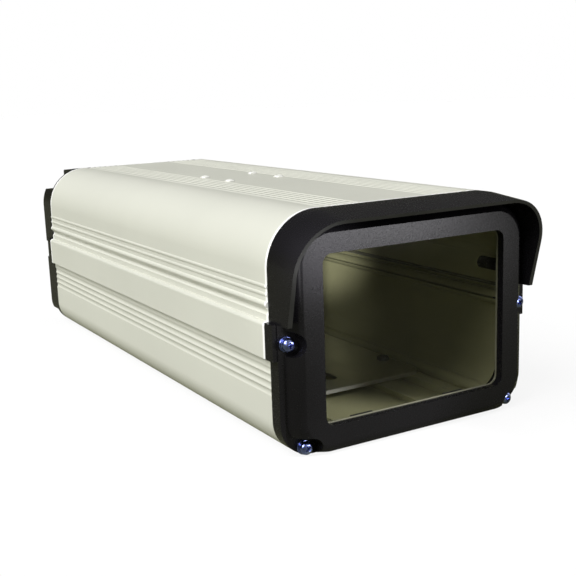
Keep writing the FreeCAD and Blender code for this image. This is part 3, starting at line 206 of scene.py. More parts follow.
def modifier(obj, kind, **settings):
    """Adds a modifier, sets it and applies it."""
    select_only(obj)
    bpy.ops.object.modifier_add(type=kind)
    made = obj.modifiers[-1]
    for name, value in settings.items():
        setattr(made, name, value)
    bpy.ops.object.modifier_apply(modifier=made.name)


def round_edges(obj, width, segments=2, angle=40):
    """Rounds the edges where faces meet at more than an angle."""
    modifier(obj, "BEVEL", width=width, segments=segments, limit_method="ANGLE",
             angle_limit=math.radians(angle), use_clamp_overlap=True, harden_normals=False,
             miter_outer="MITER_ARC")


def tidy_mesh(obj):
    """Merges doubles and turns every face outwards."""
    start_edit(obj)
    bpy.ops.mesh.select_all(action="SELECT")
    bpy.ops.mesh.remove_doubles(threshold=MERGE_GAP)
    bpy.ops.mesh.normals_make_consistent(inside=False)
    end_edit()


def copy_of(node, name):
    """A merged copy of a CAD node, with its flat faces made whole."""
    select_only(frame["nodes"][node])
    bpy.ops.object.duplicate()
    made = bpy.context.object
    made.parent = None
    made.name = name
    made.data.name = name
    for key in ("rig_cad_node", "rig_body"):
        if key in made:
            del made[key]
    made.data.materials.clear()
    if made.data.has_custom_normals:
        bpy.ops.mesh.customdata_custom_splitnormals_clear()
    start_edit(made)
    bpy.ops.mesh.select_all(action="SELECT")
    bpy.ops.mesh.remove_doubles(threshold=MERGE_GAP)
    bpy.ops.mesh.dissolve_limited(angle_limit=math.radians(0.4))
    end_edit()
    return made


def joined(objects, name):
    """Several pieces made one object."""
    select_only(objects[0])
    for obj in objects[1:]:
        obj.select_set(True)
    if len(objects) > 1:
        bpy.ops.object.join()
    made = bpy.context.object
    made.name = name
    made.data.name = name
    return made


def carve(obj, tools):
    """Cuts tools out of obj and removes them."""
    for tool in tools:
        modifier(obj, "BOOLEAN", operation="DIFFERENCE", solver="EXACT", object=tool)
        bpy.data.objects.remove(tool)


def unite(obj, others):
    """Makes one solid of obj and the others."""
    for other in others:
        modifier(obj, "BOOLEAN", operation="UNION", solver="EXACT", object=other)
        bpy.data.objects.remove(other)


def apply_place(obj):
    """Writes an object's place, turn and scale into its mesh."""
    select_only(obj)
    bpy.ops.object.transform_apply(location=True, rotation=True, scale=True)


def twin_of(obj):
    """A copy with its own mesh."""
    select_only(obj)
    bpy.ops.object.duplicate()
    return bpy.context.object


def turned(name, profile, sides=40):
    """A piece as from a lathe, along +Z: profile runs from its foot to its top as
    (height, radius) in millimetres."""
    height, radius = profile[0]
    bpy.ops.mesh.primitive_circle_add(vertices=sides, radius=radius * MM, fill_type="NGON",
                                      location=(0, 0, height * MM))
    made = bpy.context.object
    made.name = name
    apply_place(made)
    start_edit(made)
    bpy.ops.mesh.select_all(action="SELECT")
    for level, reach in profile[1:]:
        bpy.ops.mesh.extrude_region_move(
            TRANSFORM_OT_translate={"value": (0, 0, (level - height) * MM)})
        share = reach / radius
        bpy.ops.transform.resize(value=(share, share, 1), center_override=(0, 0, level * MM))
        height, radius = level, reach
    end_edit()
    tidy_mesh(made)
    return made


# For a section of so many corners: its width, its height and its turn when its radius is one,
# and where its middle lies between its inner and outer side
SECTIONS = {3: (1.5, math.sqrt(3), -90, 1 / 3), 4: (math.sqrt(2), math.sqrt(2), 45, 1 / 2)}


def swept_helix(name, corners, inner, across, tall, pitch, turns, steps=32):
    """A three- or four-cornered section swept up a helix and closed, sizes in millimetres."""
    wide, high, spin, inside = SECTIONS[corners]
    bpy.ops.mesh.primitive_circle_add(vertices=corners, radius=1, fill_type="NOTHING",
                                      rotation=(0, 0, math.radians(spin)))
    made = bpy.context.object
    made.name = name
    apply_place(made)
    made.rotation_euler.x = math.radians(90)
    made.scale = (across / wide * MM, tall / high * MM, 1)
    made.location = ((inner + across * inside) * MM, 0, 0)
    apply_place(made)
    rounds = math.ceil(turns)
    modifier(made, "SCREW", axis="Z", angle=math.tau * turns / rounds, iterations=rounds,
             screw_offset=pitch * turns / rounds * MM, steps=steps, render_steps=steps)
    start_edit(made, "EDGE")
    bpy.ops.mesh.select_all(action="SELECT")
    bpy.ops.mesh.fill_holes(sides=corners)
    end_edit()
    tidy_mesh(made)
    return made


def ring_of(piece, count):
    """A piece and its copies turned about the Z axis, as one object."""
    pieces = [piece]
    for index in range(1, count):
        twin = twin_of(piece)
        twin.rotation_euler.z = math.tau * index / count
        apply_place(twin)
        pieces.append(twin)
    return joined(pieces, piece.name)


def planted(master, places, along, name, spin=0.0):
    """Copies of a piece made along +Z, one at each place, each turned on by spin."""
    upright = Vector((0, 0, 1)).rotation_difference(Vector(along)).to_matrix()
    pieces = []
    for index, at in enumerate(places):
        twin = twin_of(master)
        twin.rotation_euler = (upright @ Matrix.Rotation(spin * index, 3, "Z")).to_euler()
        twin.location = at
        apply_place(twin)
        pieces.append(twin)
    bpy.data.objects.remove(master)
    return joined(pieces, name)


# Height of a nut's chamfer as a share of how far its corners stand out
CHAMFER_SLOPE = 0.58


def chamfered_hex(name, across, height):
    """A hexagon of a nut, up from zero, with its corners turned off, sizes in millimetres."""
    corner = across / 2 / math.cos(math.radians(30))
    bpy.ops.mesh.primitive_cylinder_add(vertices=6, radius=corner * MM, depth=height * MM,
                                        location=(0, 0, height / 2 * MM),
                                        rotation=(0, 0, math.radians(30)))
    made = bpy.context.object
    made.name = name
    apply_place(made)
    flat = across / 2
    slope = (corner - flat) * CHAMFER_SLOPE
    foot, belly = flat * 1.005, corner * 1.01
    barrel = turned("barrel", [(0, foot), (slope, belly), (height - slope, belly), (height, foot)],
                    sides=48)
    modifier(made, "BOOLEAN", operation="INTERSECT", solver="EXACT", object=barrel)
    bpy.data.objects.remove(barrel)
    return made


def settle(obj, body, look, nodes, smooth=35):
    """The last step of a piece: place in the mesh, shading, material, and what it rides on."""
    apply_place(obj)
    bpy.ops.object.shade_smooth_by_angle(angle=math.radians(smooth))
    modifier(obj, "WEIGHTED_NORMAL", mode="FACE_AREA", weight=100, keep_sharp=True)
    obj.data.materials.clear()
    obj.data.materials.append(look)
    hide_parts(*nodes)
    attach(obj, body)


def give_faces(obj, wanted, look):
    """Another material for some of a piece's faces."""
    obj.data.materials.append(look)
    start_edit(obj)
    pick_faces(obj, wanted)
    obj.active_material_index = len(obj.data.materials) - 1
    bpy.ops.object.material_slot_assign()
    end_edit()


def solid_boxes(node):
    """(lowest corner, highest corner) of each separate solid of a CAD node."""
    mesh = bmesh.new()
    mesh.from_mesh(frame["nodes"][node].data)
    bmesh.ops.remove_doubles(mesh, verts=mesh.verts, dist=MERGE_GAP)
    waiting = set(mesh.verts)
    boxes = []
    while waiting:
        group = [waiting.pop()]
        island = list(group)
        while group:
            vert = group.pop()
            for edge in vert.link_edges:
                other = edge.other_vert(vert)
                if other in waiting:
                    waiting.remove(other)
                    group.append(other)
                    island.append(other)
        low = Vector([min(vert.co[axis] for vert in island) for axis in range(3)])
        high = Vector([max(vert.co[axis] for vert in island) for axis in range(3)])
        boxes.append((low, high))
    mesh.free()
    return sorted(boxes, key=lambda pair: tuple(round(value, 5) for value in pair[0]))


def middle(pair):
    """The point halfway between the two corners of a box."""
    return (pair[0] + pair[1]) / 2


# Materials

class Finish:
    """A material and short ways to wire its nodes."""

    def __init__(self, name):
        self.material = bpy.data.materials.new(name)
        self.material.use_nodes = True
        self.tree = self.material.node_tree
        self.shader = self.tree.nodes["Principled BSDF"]
        self.place = self.tree.nodes.new("ShaderNodeTexCoord").outputs["Object"]

    def node(self, kind):
        return self.tree.nodes.new(kind)

    def set(self, **values):
        for name, value in values.items():
            self.shader.inputs[name.replace("_", " ")].default_value = value

    def link(self, output, target):
        self.tree.links.new(output, target)

    def mapped(self, scale):
        made = self.node("ShaderNodeMapping")
        made.inputs["Scale"].default_value = scale
        self.link(self.place, made.inputs["Vector"])
        return made.outputs["Vector"]

    def noise(self, scale, detail=2.0, roughness=0.5, stretch=(1, 1, 1)):
        made = self.node("ShaderNodeTexNoise")
        made.inputs["Scale"].default_value = scale
        made.inputs["Detail"].default_value = detail
        made.inputs["Roughness"].default_value = roughness
        self.link(self.mapped(stretch), made.inputs["Vector"])
        return made.outputs["Fac"]

    def cells(self, scale):
        made = self.node("ShaderNodeTexVoronoi")
        made.inputs["Scale"].default_value = scale
        self.link(self.mapped((1, 1, 1)), made.inputs["Vector"])
        return made.outputs["Distance"]

    def ramp(self, factor, stops):
        """stops is a list of (place, colour)."""
        made = self.node("ShaderNodeValToRGB")
        points = made.color_ramp.elements
        while len(points) < len(stops):
            points.new(0.5)
        for point, (place, colour) in zip(points, stops):
            point.position = place
            point.color = (*colour, 1)
        self.link(factor, made.inputs["Fac"])
        return made.outputs["Color"]

    def span(self, factor, low, high):
        """Maps 0..1 to low..high."""
        made = self.node("ShaderNodeMapRange")
        made.inputs["To Min"].default_value = low
        made.inputs["To Max"].default_value = high
        self.link(factor, made.inputs["Value"])
        return made.outputs["Result"]

    def bump(self, height, distance, strength, over=None):
        """A bump, laid over another one if there is one."""
        made = self.node("ShaderNodeBump")
        made.inputs["Distance"].default_value = distance
        made.inputs["Strength"].default_value = strength
        self.link(height, made.inputs["Height"])
        if over is not None:
            self.link(over, made.inputs["Normal"])
        return made.outputs["Normal"]

    def wire(self, colour, roughness, normal=None):
        """Leads the outputs into the shader, and returns the finished material."""
        for output, name in ((colour, "Base Color"), (roughness, "Roughness"), (normal, "Normal")):
            if output is not None:
                self.link(output, self.shader.inputs[name])
        return self.material


def shade(colour, factor):
    """A colour made darker or lighter."""
    return tuple(min(1.0, value * factor) for value in colour)


MATERIALS = {}


def material(name, maker):
    """Each finish is made once and shared."""
    if name not in MATERIALS:
        MATERIALS[name] = maker(name)
    return MATERIALS[name]


def satin_paint(name):
    """Stoved paint: even colour with a faint cloud, fine orange peel, satin gloss."""
    look = Finish(name)
    colour = tuple(finish().paint)
    cloud = look.noise(9, detail=4)
    tint = look.ramp(cloud, [(0.3, shade(colour, 0.965)), (0.7, shade(colour, 1.03))])
    rough = look.span(look.noise(60, detail=3), 0.30, 0.42)
    peel = look.bump(look.noise(900, detail=2), 0.00004, strength=0.35)
    look.set(Specular_IOR_Level=0.45)
    return look.wire(tint, rough, peel)


def sawn_edge(name):
    """Bare aluminium where the extrusions are sawn off, made a near-white diffuse colour that paints the
    highlight line along their ends.
    """
    look = Finish(name)
    lines = look.noise(900, detail=3, stretch=(1, 1, 0.05))
    tint = look.ramp(lines, [(0.3, (0.90, 0.90, 0.88)), (0.7, (0.98, 0.98, 0.97))])
    look.set(Specular_IOR_Level=0.6)
    return look.wire(tint, look.span(lines, 0.35, 0.55))


def olive_lining(name):
    """The inside of the extrusions: a darker, more olive copy of the paint that paints the dim shade
    inside the housing, with drawn lines.
    """
    look = Finish(name)
    colour = tuple(finish().lining)
    drawn = look.noise(420, detail=2, stretch=(1, 0.012, 1))
    cloud = look.noise(26, detail=5)
    tint = look.ramp(cloud, [(0.3, shade(colour, 0.88)), (0.7, shade(colour, 1.08))])
    look.set(Specular_IOR_Level=0.5)
    return look.wire(tint, look.span(drawn, 0.34, 0.52), look.bump(drawn, 0.000008, strength=0.3))


def grained_black(name):
    """Moulded caps: black with a fine spark-eroded grain and a soft sheen."""
    look = Finish(name)
    colour = tuple(finish().cap)
    tint = look.ramp(look.noise(14, detail=5), [(0.3, shade(colour, 0.85)), (0.72, shade(colour, 1.25))])
    rough = look.span(look.noise(1500, detail=2), 0.22, 0.31)
    coarse = look.bump(look.noise(1900, detail=3, roughness=0.6), 0.00004, strength=0.42)
    look.set(Specular_IOR_Level=0.22)
    return look.wire(tint, rough, look.bump(look.cells(2800), 0.00002, strength=0.35, over=coarse))


def polished_lip(name):
    """Front edge of the hood, a lighter grey than the caps that paints a highlight line along the lip.
    """
    look = Finish(name)
    tint = look.ramp(look.noise(60, detail=3), [
        (0.3, (0.014, 0.014, 0.015)), (0.7, (0.026, 0.026, 0.027))])
    return look.wire(tint, look.span(look.noise(400, detail=2), 0.20, 0.30))


def soft_rubber(name):
    """Black rubber of the cap gaskets and gland seals, dull and faintly mottled."""
    look = Finish(name)
    colour = tuple(finish().rubber)
    tint = look.ramp(look.noise(120, detail=4), [(0.3, shade(colour, 0.8)), (0.7, shade(colour, 1.5))])
    rough = look.span(look.noise(300), 0.68, 0.88)
    return look.wire(tint, rough, look.bump(look.noise(2500), 0.00002, strength=0.5))


def silicone(name):
    """Grey-olive silicone of the rim and window seals."""
    look = Finish(name)
    colour = tuple(finish().silicone)
    tint = look.ramp(look.noise(150, detail=4), [(0.3, shade(colour, 0.9)), (0.7, shade(colour, 1.1))])
    return look.wire(tint, look.span(look.noise(300), 0.55, 0.75),
                     look.bump(look.noise(1800), 0.00002, strength=0.4))


def black_steel(name):
    """Blackened steel with a thin oily gloss."""
    look = Finish(name)
    colour = tuple(finish().blackened)
    tint = look.ramp(look.noise(350, detail=4), [(0.3, shade(colour, 0.75)), (0.72, shade(colour, 1.5))])
    look.set(Metallic=0.75)
    return look.wire(tint, look.span(look.noise(700, detail=3), 0.28, 0.46),
                     look.bump(look.noise(2200), 0.000012, strength=0.5))


def zinc_plate(name):
    """Bright zinc with a deep blue passivate that drifts a little in colour."""
    look = Finish(name)
    colour = tuple(finish().zinc)
    tint = look.ramp(look.noise(300, detail=3), [
        (0.25, shade(colour, 0.6)), (0.5, colour), (0.78, (0.42, 0.50, 0.78))])
    rough = look.span(look.noise(900, detail=3), 0.13, 0.28)
    look.set(Metallic=1.0)
    return look.wire(tint, rough, look.bump(look.noise(2600, detail=2), 0.000012, strength=0.6))


def brushed_steel(name):
    """Stamped stainless sheet, brushed along its length."""
    look = Finish(name)
    colour = tuple(finish().steel)
    grain = look.noise(700, detail=3, stretch=(1, 0.03, 1))
    tint = look.ramp(grain, [(0.3, shade(colour, 0.86)), (0.7, shade(colour, 1.12))])
    look.set(Metallic=1.0)
    return look.wire(tint, look.span(grain, 0.24, 0.42), look.bump(grain, 0.00001, strength=0.7))


def mill_aluminium(name):
    """Rolled plate with faint lengthwise lines and dull patches."""
    look = Finish(name)
    colour = tuple(finish().aluminium)
    lines = look.noise(520, detail=4, stretch=(1, 0.02, 1))
    tint = look.ramp(look.noise(22, detail=5), [(0.3, shade(colour, 0.88)), (0.7, shade(colour, 1.08))])
    look.set(Metallic=1.0)
    return look.wire(tint, look.span(lines, 0.30, 0.5), look.bump(lines, 0.00001, strength=0.5))


def clear_glass(name):
    """Float glass: a clear pane that light passes straight through, with a faint film of dust."""
    look = Finish(name)
    colour = tuple(finish().glass)
    tint = look.ramp(look.noise(8, detail=3), [(0.3, shade(colour, 0.8)), (0.7, colour)])
    look.set(Alpha=0.14, Specular_IOR_Level=0.5)
    return look.wire(tint, look.span(look.noise(40, detail=4), 0.02, 0.06))


def gland_nylon(name):
    """Black nylon of the glands, finely grained."""
    look = Finish(name)
    colour = tuple(finish().gland)
    tint = look.ramp(look.noise(80, detail=4), [(0.3, shade(colour, 0.85)), (0.7, shade(colour, 1.3))])
    rough = look.span(look.noise(600, detail=2), 0.34, 0.48)
    return look.wire(tint, rough, look.bump(look.noise(2000), 0.00002, strength=0.4))


def rivet_metal(name):
    """Pale aluminium of the rivets, half dulled."""
    look = Finish(name)
    tint = look.ramp(look.noise(400, detail=3), [(0.3, (0.84, 0.84, 0.79)), (0.7, (0.93, 0.93, 0.89))])
    look.set(Metallic=0.2)
    return look.wire(tint, look.span(look.noise(900), 0.24, 0.4),
                     look.bump(look.noise(2400), 0.00001, strength=0.5))


def studio_floor(name):
    """A pale floor, mostly see-through, so that it melts into the white walls."""
    look = Finish(name)
    colour = tuple(finish().floor)
    tint = look.ramp(look.noise(3, detail=2), [(0.3, shade(colour, 0.995)), (0.7, colour)])
    look.set(Alpha=FLOOR_COVER, Specular_IOR_Level=0.0)
    return look.wire(tint, look.span(look.noise(6), 0.75, 0.85))


# Extrusions

INNER_HALF_WIDTH = 68.2 * MM
INNER_HALF_HEIGHT = 52.6 * MM
INSIDE_MIDDLE = 54.5 * MM

# Where the walls begin, and what is well within them, for a reach of one at their inner side
WALL_REACH = 0.998
WELL_WITHIN = 0.84

CUT_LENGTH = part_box("upper_cover")[1].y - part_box("upper_cover")[0].y


def faces_inwards(face):
    """Whether a face of an extrusion is turned towards the room inside it. Reach is one at
    the inner side of the walls, and well within them every face counts."""
    centre = face.calc_center_median()
    across = centre.x / INNER_HALF_WIDTH
    upward = (centre.z - INSIDE_MIDDLE) / INNER_HALF_HEIGHT
    reach = max(abs(across), abs(upward))
    looks_in = face.normal.x * across + face.normal.z * upward < 0.15
    return abs(face.normal.y) < 0.5 and (reach < WELL_WITHIN or reach < WALL_REACH and looks_in)


def sawn_end(face):
    """Whether a face belongs to the sawn end of an extrusion or to the break round it."""
    return abs(face.normal.y) > 0.3


def beside_the_end(face):
    """Whether a face lies in the strip of the cover beside its sawn ends that carries the painted
    highlight.
    """
    return abs(face.calc_center_median().y) > CUT_LENGTH / 2 - sizes().highlight_strip


def mark_highlight_strips(piece):
    """Splits the cover's faces where the near-white painted highlight strip beside the sawn ends begins.
    """
    stop = CUT_LENGTH / 2 - sizes().highlight_strip
    for place in (-stop, stop):
        start_edit(piece)
        bpy.ops.mesh.select_all(action="SELECT")
        bpy.ops.mesh.bisect(plane_co=(0, place, 0), plane_no=(0, 1, 0))
        end_edit()


class HOUSING_OT_extrusions(bpy.types.Operator):
    """Cover and tray, with their sawn ends broken and every line of the profile kept"""
    bl_idname = "housing.extrusions"
    bl_label = "Extrusions"

    def execute(self, context):
        paint = material("satin_paint", satin_paint)
        lining = material("olive_lining", olive_lining)
        end_highlight = material("sawn_edge", sawn_edge)
        for node, name, body in (("upper_cover", "painted_cover", "cover"),
                                 ("lower_tray", "painted_tray", "housing")):
            piece = copy_of(node, name)
            round_edges(piece, sizes().extrusion_edge)
            if node == "upper_cover":
                mark_highlight_strips(piece)
            settle(piece, body, paint, [node])
            # Faces turned inwards take the darker copy of the paint as painted shade
            give_faces(piece, faces_inwards, lining)
            # Sawn ends, and the strip of the cover beside them, take the near-white painted highlight
            give_faces(piece, sawn_end, end_highlight)
            if node == "upper_cover":
                give_faces(piece, beside_the_end, end_highlight)
        return {"FINISHED"}


# Caps, window and seals

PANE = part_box("window_glass")
PANE_MIDDLE = middle(PANE)
HOOD_START = 12 * MM

# Half of the window seal's opening, and how far the lip that shows stands in from it
SEAL_OPENING = Vector((51.6, 0, 39.1)) * MM
SEAL_LIP = 1.0 * MM


def hood_edge(face):
    """Whether a face belongs to the front edge of the hood."""
    return face.calc_center_median().y < PANE[0].y - HOOD_START and face.normal.y < -0.4


class HOUSING_OT_caps(bpy.types.Operator):
    """Moulded front and rear caps with rounded edges"""
    bl_idname = "housing.caps"
    bl_label = "End caps"

    def execute(self, context):
        black = material("grained_black", grained_black)
        for node, name in (("front_cap", "moulded_front_cap"), ("rear_cap", "moulded_rear_cap")):
            piece = copy_of(node, name)
            round_edges(piece, sizes().cap_edge, segments=3)
            settle(piece, "housing", black, [node])
            if node == "front_cap":
                # The hood's front edge takes a lighter grey as a painted highlight
                give_faces(piece, hood_edge, material("polished_lip", polished_lip))
        return {"FINISHED"}


def softened(node, name, body, look, edge):
    """A merged copy of a CAD node with its edges rounded, in its place."""
    piece = copy_of(node, name)
    round_edges(piece, edge)
    settle(piece, body, look, [node])


class HOUSING_OT_window(bpy.types.Operator):
    """Glass and the clips behind it"""
    bl_idname = "housing.window"
    bl_label = "Window"

    def execute(self, context):
        edge = sizes().sheet_edge
        softened("window_glass", "window_pane", "housing",
                 material("clear_glass", clear_glass), edge)
        softened("glass_clips", "pane_clips", "housing",
                 material("black_steel", black_steel), edge)
        return {"FINISHED"}


def seal_lip(face):
    """Whether a face of the window seal is turned towards the middle of the window."""
    out = face.calc_center_median() - PANE_MIDDLE
    return abs(face.normal.y) < 0.5 and face.normal.x * out.x + face.normal.z * out.z < 0


class HOUSING_OT_seals(bpy.types.Operator):
    """Gaskets of the caps, the seal that the pane is bedded in, and the rim seals"""
    bl_idname = "housing.seals"
    bl_label = "Seals"

    def execute(self, context):
        rubber = material("soft_rubber", soft_rubber)
        edge = sizes().rubber_edge
        for node in ("front_cap_gasket", "rear_cap_gasket"):
            softened(node, f"{node}_moulding", "housing", rubber, edge)
        bed = copy_of("window_seal", "window_seal_bed")
        start_edit(bed)
        pick_faces(bed, seal_lip)
        bpy.ops.transform.resize(
            value=(1 - SEAL_LIP / SEAL_OPENING.x, 1, 1 - SEAL_LIP / SEAL_OPENING.z),
            center_override=PANE_MIDDLE)
        end_edit()
        round_edges(bed, edge)
        settle(bed, "housing", material("silicone", silicone), ["window_seal"])
        for side in ("left", "right"):
            softened(f"{side}_rim_seal", f"{side}_rim_strip", "housing",
                     material("silicone", silicone), edge)
        return {"FINISHED"}


# Screws and washers, sizes in millimetres

# Outer radius, bore radius, thickness
FLAT_WASHER = (3.6, 2.2, 0.8)
SPRING_WASHER = (3.3, 2.2, 1.0)
CAMERA_WASHER = (7.0, 3.25, 0.8)

# Radius and height of the head, radius and length of the shank
CAP_SCREW = (3.1, 2.48, 1.65, 16.0)
CLIP_SCREW = (2.2, 1.6, 1.4, 7.0)
SLED_SCREW = (3.5, 2.2, 1.65, 4.5)

# How far each screw or washer is turned on from the one before it, in radians
SPRING_WASHER_SPIN = 1.9
CAP_SCREW_SPIN = 0.7
CLIP_SCREW_SPIN = 0.9
SLED_SCREW_SPIN = 1.1

# Depth of a recess as a share of its head's height, width of a blade as a share of its reach,
# and how far a blade stands over the head
RECESS_DEPTH = 0.78
BLADE_WIDTH = 0.56
CUT_OVER = 0.4

# How far a spring washer's ends stand apart as a share of its height, and its rounded edge
SPRING_RISE = 0.12
SPRING_EDGE = 0.12 * MM


def recess_blade(reach, width, depth, top):
    """One blade of the cross-shaped tool that presses a screw's recess."""
    bpy.ops.mesh.primitive_cube_add(size=1, location=(0, 0, (top - depth / 2) * MM),
                                    scale=(reach * 2 * MM, width * MM, depth * MM))
    blade = bpy.context.object
    apply_place(blade)
    start_edit(blade)
    pick_faces(blade, lambda face: face.normal.z < -0.5)
    bpy.ops.transform.resize(value=(0.42, 0.55, 1), center_override=(0, 0, (top - depth) * MM))
    end_edit()
    return blade


def pan_screw(name, head, height, shank, length):
    """A pan-head screw with a cross recess, sizes in millimetres; its head stands on zero."""
    screw = turned(name, [
        (-length, shank * 0.72), (-length + shank * 0.35, shank), (0, shank),
        (0, head * 0.93), (height * 0.10, head), (height * 0.46, head * 0.985),
        (height * 0.70, head * 0.91), (height * 0.88, head * 0.76), (height * 0.97, head * 0.54),
        (height, head * 0.30)])
    reach = head * sizes().recess_share
    blades = [recess_blade(reach, reach * BLADE_WIDTH, height * RECESS_DEPTH, height + CUT_OVER)
              for _ in range(2)]
    blades[1].rotation_euler.z = math.radians(90)
    apply_place(blades[1])
    carve(screw, blades)
    return screw


def spring_washer(name, outer, inner, height):
    """A split ring that still stands a little open at its ends."""
    split = sizes().washer_split
    rise = height * SPRING_RISE
    ring = swept_helix(name, 4, inner, outer - inner, height - rise, rise, 1 - split / math.tau,
                       steps=44)
    ring.rotation_euler.z = split
    ring.location.z = (height - rise) / 2 * MM
    apply_place(ring)
    round_edges(ring, SPRING_EDGE, angle=60)
    return ring


def flat_washer(name, outer, inner, height):
    """A stamped washer: rounded on the side it was pressed from, sharp below."""
    disc = turned(name, [(0, outer * 0.985), (height * 0.15, outer), (height * 0.6, outer),
                         (height * 0.88, outer * 0.975), (height, outer * 0.93)], sides=48)
    carve(disc, [turned("bore", [(-1, inner), (height + 1, inner)])])
    return disc


class HOUSING_OT_screws(bpy.types.Operator):
    """Cap screws with cross recesses, each on a spring washer and a flat washer"""
    bl_idname = "housing.screws"
    bl_label = "Screws"

    def execute(self, context):
        zinc = material("zinc_plate", zinc_plate)
        blackened = material("black_steel", black_steel)
        for prefix, outward in (("front", -1), ("rear", 1)):
            flats, springs, screws = (f"{prefix}_flat_washers", f"{prefix}_spring_washers",
                                      f"{prefix}_cap_screws")
            near = 0 if outward > 0 else 1
            seats = [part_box(node)[near].y for node in (flats, springs)]
            seats.append(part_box(springs)[1 - near].y)
            places = [middle(pair) for pair in solid_boxes(flats)]
            along = (0, outward, 0)
            masters = (
                (flats, flat_washer("flat_washer", *FLAT_WASHER), 0.0),
                (springs, spring_washer("spring_washer", *SPRING_WASHER), SPRING_WASHER_SPIN),
                (screws, pan_screw("pan_screw", *CAP_SCREW), CAP_SCREW_SPIN))
            for seat, (node, master, spin) in zip(seats, masters):
                spots = [(place.x, seat, place.z) for place in places]
                piece = planted(master, spots, along, f"zinc_{node}", spin)
                settle(piece, "housing", zinc, [node], smooth=30)

        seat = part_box("glass_clips")[1].y
        spots = [(middle(pair).x, seat, middle(pair).z) for pair in solid_boxes("glass_clip_screws")]
        piece = planted(pan_screw("clip_screw", *CLIP_SCREW), spots, (0, 1, 0),
                        "black_clip_screws", CLIP_SCREW_SPIN)
        settle(piece, "housing", blackened, ["glass_clip_screws"], smooth=30)

        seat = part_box("camera_sled")[1].z
        spots = [(middle(pair).x, middle(pair).y, seat) for pair in solid_boxes("sled_screws")]
        piece = planted(pan_screw("plate_screw", *SLED_SCREW), spots, (0, 0, 1),
                        "black_sled_screws", SLED_SCREW_SPIN)
        settle(piece, "housing", blackened, ["sled_screws"], smooth=30)
        return {"FINISHED"}


# Camera sled and its screw, sizes in millimetres

KNOB_RADIUS = 5.25
KNOB_HEIGHT = 2.6
KNURL_TEETH = 40
NECK_RADIUS = 2.4
THREADED_LENGTH = 6.0
THREAD_CORE = 2.66


class HOUSING_OT_sled(bpy.types.Operator):
    """Camera sled, and the knurled quarter-inch screw with its thread that holds the camera"""
    bl_idname = "housing.sled"
    bl_label = "Camera sled"

    def execute(self, context):
        softened("camera_sled", "sled_plate", "housing",
                 material("mill_aluminium", mill_aluminium), sizes().sheet_edge)
        blackened = material("black_steel", black_steel)
        low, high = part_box("camera_screw")
        foot, length = low.z / MM, (high.z - low.z) / MM
        pitch = sizes().thread_pitch / MM
        screw = turned("camera_thumb_screw", [
            (0, KNOB_RADIUS - 0.35), (0.35, KNOB_RADIUS), (KNOB_HEIGHT - 0.4, KNOB_RADIUS),
            (KNOB_HEIGHT, KNOB_RADIUS - 0.35), (KNOB_HEIGHT, NECK_RADIUS),
            (length - THREADED_LENGTH, NECK_RADIUS), (length - THREADED_LENGTH + 0.4, THREAD_CORE),
            (length - 0.6, THREAD_CORE), (length, 2.2)])
        bpy.ops.mesh.primitive_cylinder_add(vertices=3, radius=0.42 * MM, depth=1.8 * MM,
                                            location=((KNOB_RADIUS - 0.05) * MM, 0,
                                                      KNOB_HEIGHT / 2 * MM),
                                            rotation=(0, 0, math.radians(-90)))
        tooth = bpy.context.object
        apply_place(tooth)
        knurl = ring_of(tooth, KNURL_TEETH)
        thread = swept_helix("thread", 3, THREAD_CORE - 0.06, 0.48, pitch * 0.8, pitch, 3.6)
        thread.location.z = (length - THREADED_LENGTH + 0.6) * MM
        apply_place(thread)
        piece = joined([screw, knurl, thread], "camera_thumb_screw")
        piece.location = (*middle((low, high)).xy, foot * MM)
        settle(piece, "housing", blackened, ["camera_screw"], smooth=30)
        low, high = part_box("camera_screw_washer")
        washer = planted(flat_washer("washer", *CAMERA_WASHER),
                         [(*middle((low, high)).xy, low.z)], (0, 0, 1), "camera_flat_washer")
        settle(washer, "housing", blackened, ["camera_screw_washer"], smooth=30)
        return {"FINISHED"}


# Cable glands, sizes in millimetres from the outer face of the wall or the foot of the piece

GLAND_HEX = 19.0
BODY_HEX_HEIGHT = 4.0
NUT_HEX_HEIGHT = 7.8
LOCK_NUT_HEIGHT = 3.5
THREAD_RADIUS = 7.6
THREAD_BORE = 7.65
NECK_TOP = 11
PASSAGE_RADIUS = 5.0
SEAT_RADIUS = 5.8


def gland_body():
    """Thread, hexagon and neck of a gland, with its passage and the seat of its seal."""
    core = turned("gland_body", [
        (-8, THREAD_RADIUS - 0.4), (-7.6, THREAD_RADIUS), (0.2, THREAD_RADIUS), (0.2, 7.0),
        (NECK_TOP - 0.3, 7.0), (NECK_TOP, 6.75)], sides=48)
    unite(core, [chamfered_hex("hex", GLAND_HEX, BODY_HEX_HEIGHT)])
    carve(core, [turned("passage", [(-9, PASSAGE_RADIUS), (NECK_TOP + 1, PASSAGE_RADIUS)]),
                 turned("seat", [(6.2, SEAT_RADIUS), (NECK_TOP + 1, SEAT_RADIUS)])])
    return core


def gland_nut():
    """The dome nut: a hexagon to turn it by and a ribbed dome with a rounded mouth."""
    nut = chamfered_hex("gland_nut", GLAND_HEX, NUT_HEX_HEIGHT)
    dome = turned("dome", [(7.4, 9.2), (8.2, 9.2), (9.2, 8.95), (10.2, 8.35), (11.1, 7.35),
                           (11.75, 6.1), (12.05, 5.2), (12.1, 4.9)], sides=56)
    bpy.ops.mesh.primitive_cube_add(size=1, location=(8.72 * MM, 0, 9.1 * MM),
                                    rotation=(0, math.radians(-20), 0),
                                    scale=(0.9 * MM, 0.75 * MM, 2.5 * MM))
    rib = bpy.context.object
    apply_place(rib)
    round_edges(rib, 0.2 * MM, angle=60)
    unite(nut, [dome])
    carve(nut, [turned("mouth", [(-1, 4.3), (11.6, 4.3), (12.2, 4.75), (12.6, 5.2)]),
                turned("cavity", [(-1, 7.05), (6.75, 7.05), (6.75, 5.85), (9.9, 5.85)])])
    return joined([nut, ring_of(rib, sizes().grip_ribs)], "gland_nut")


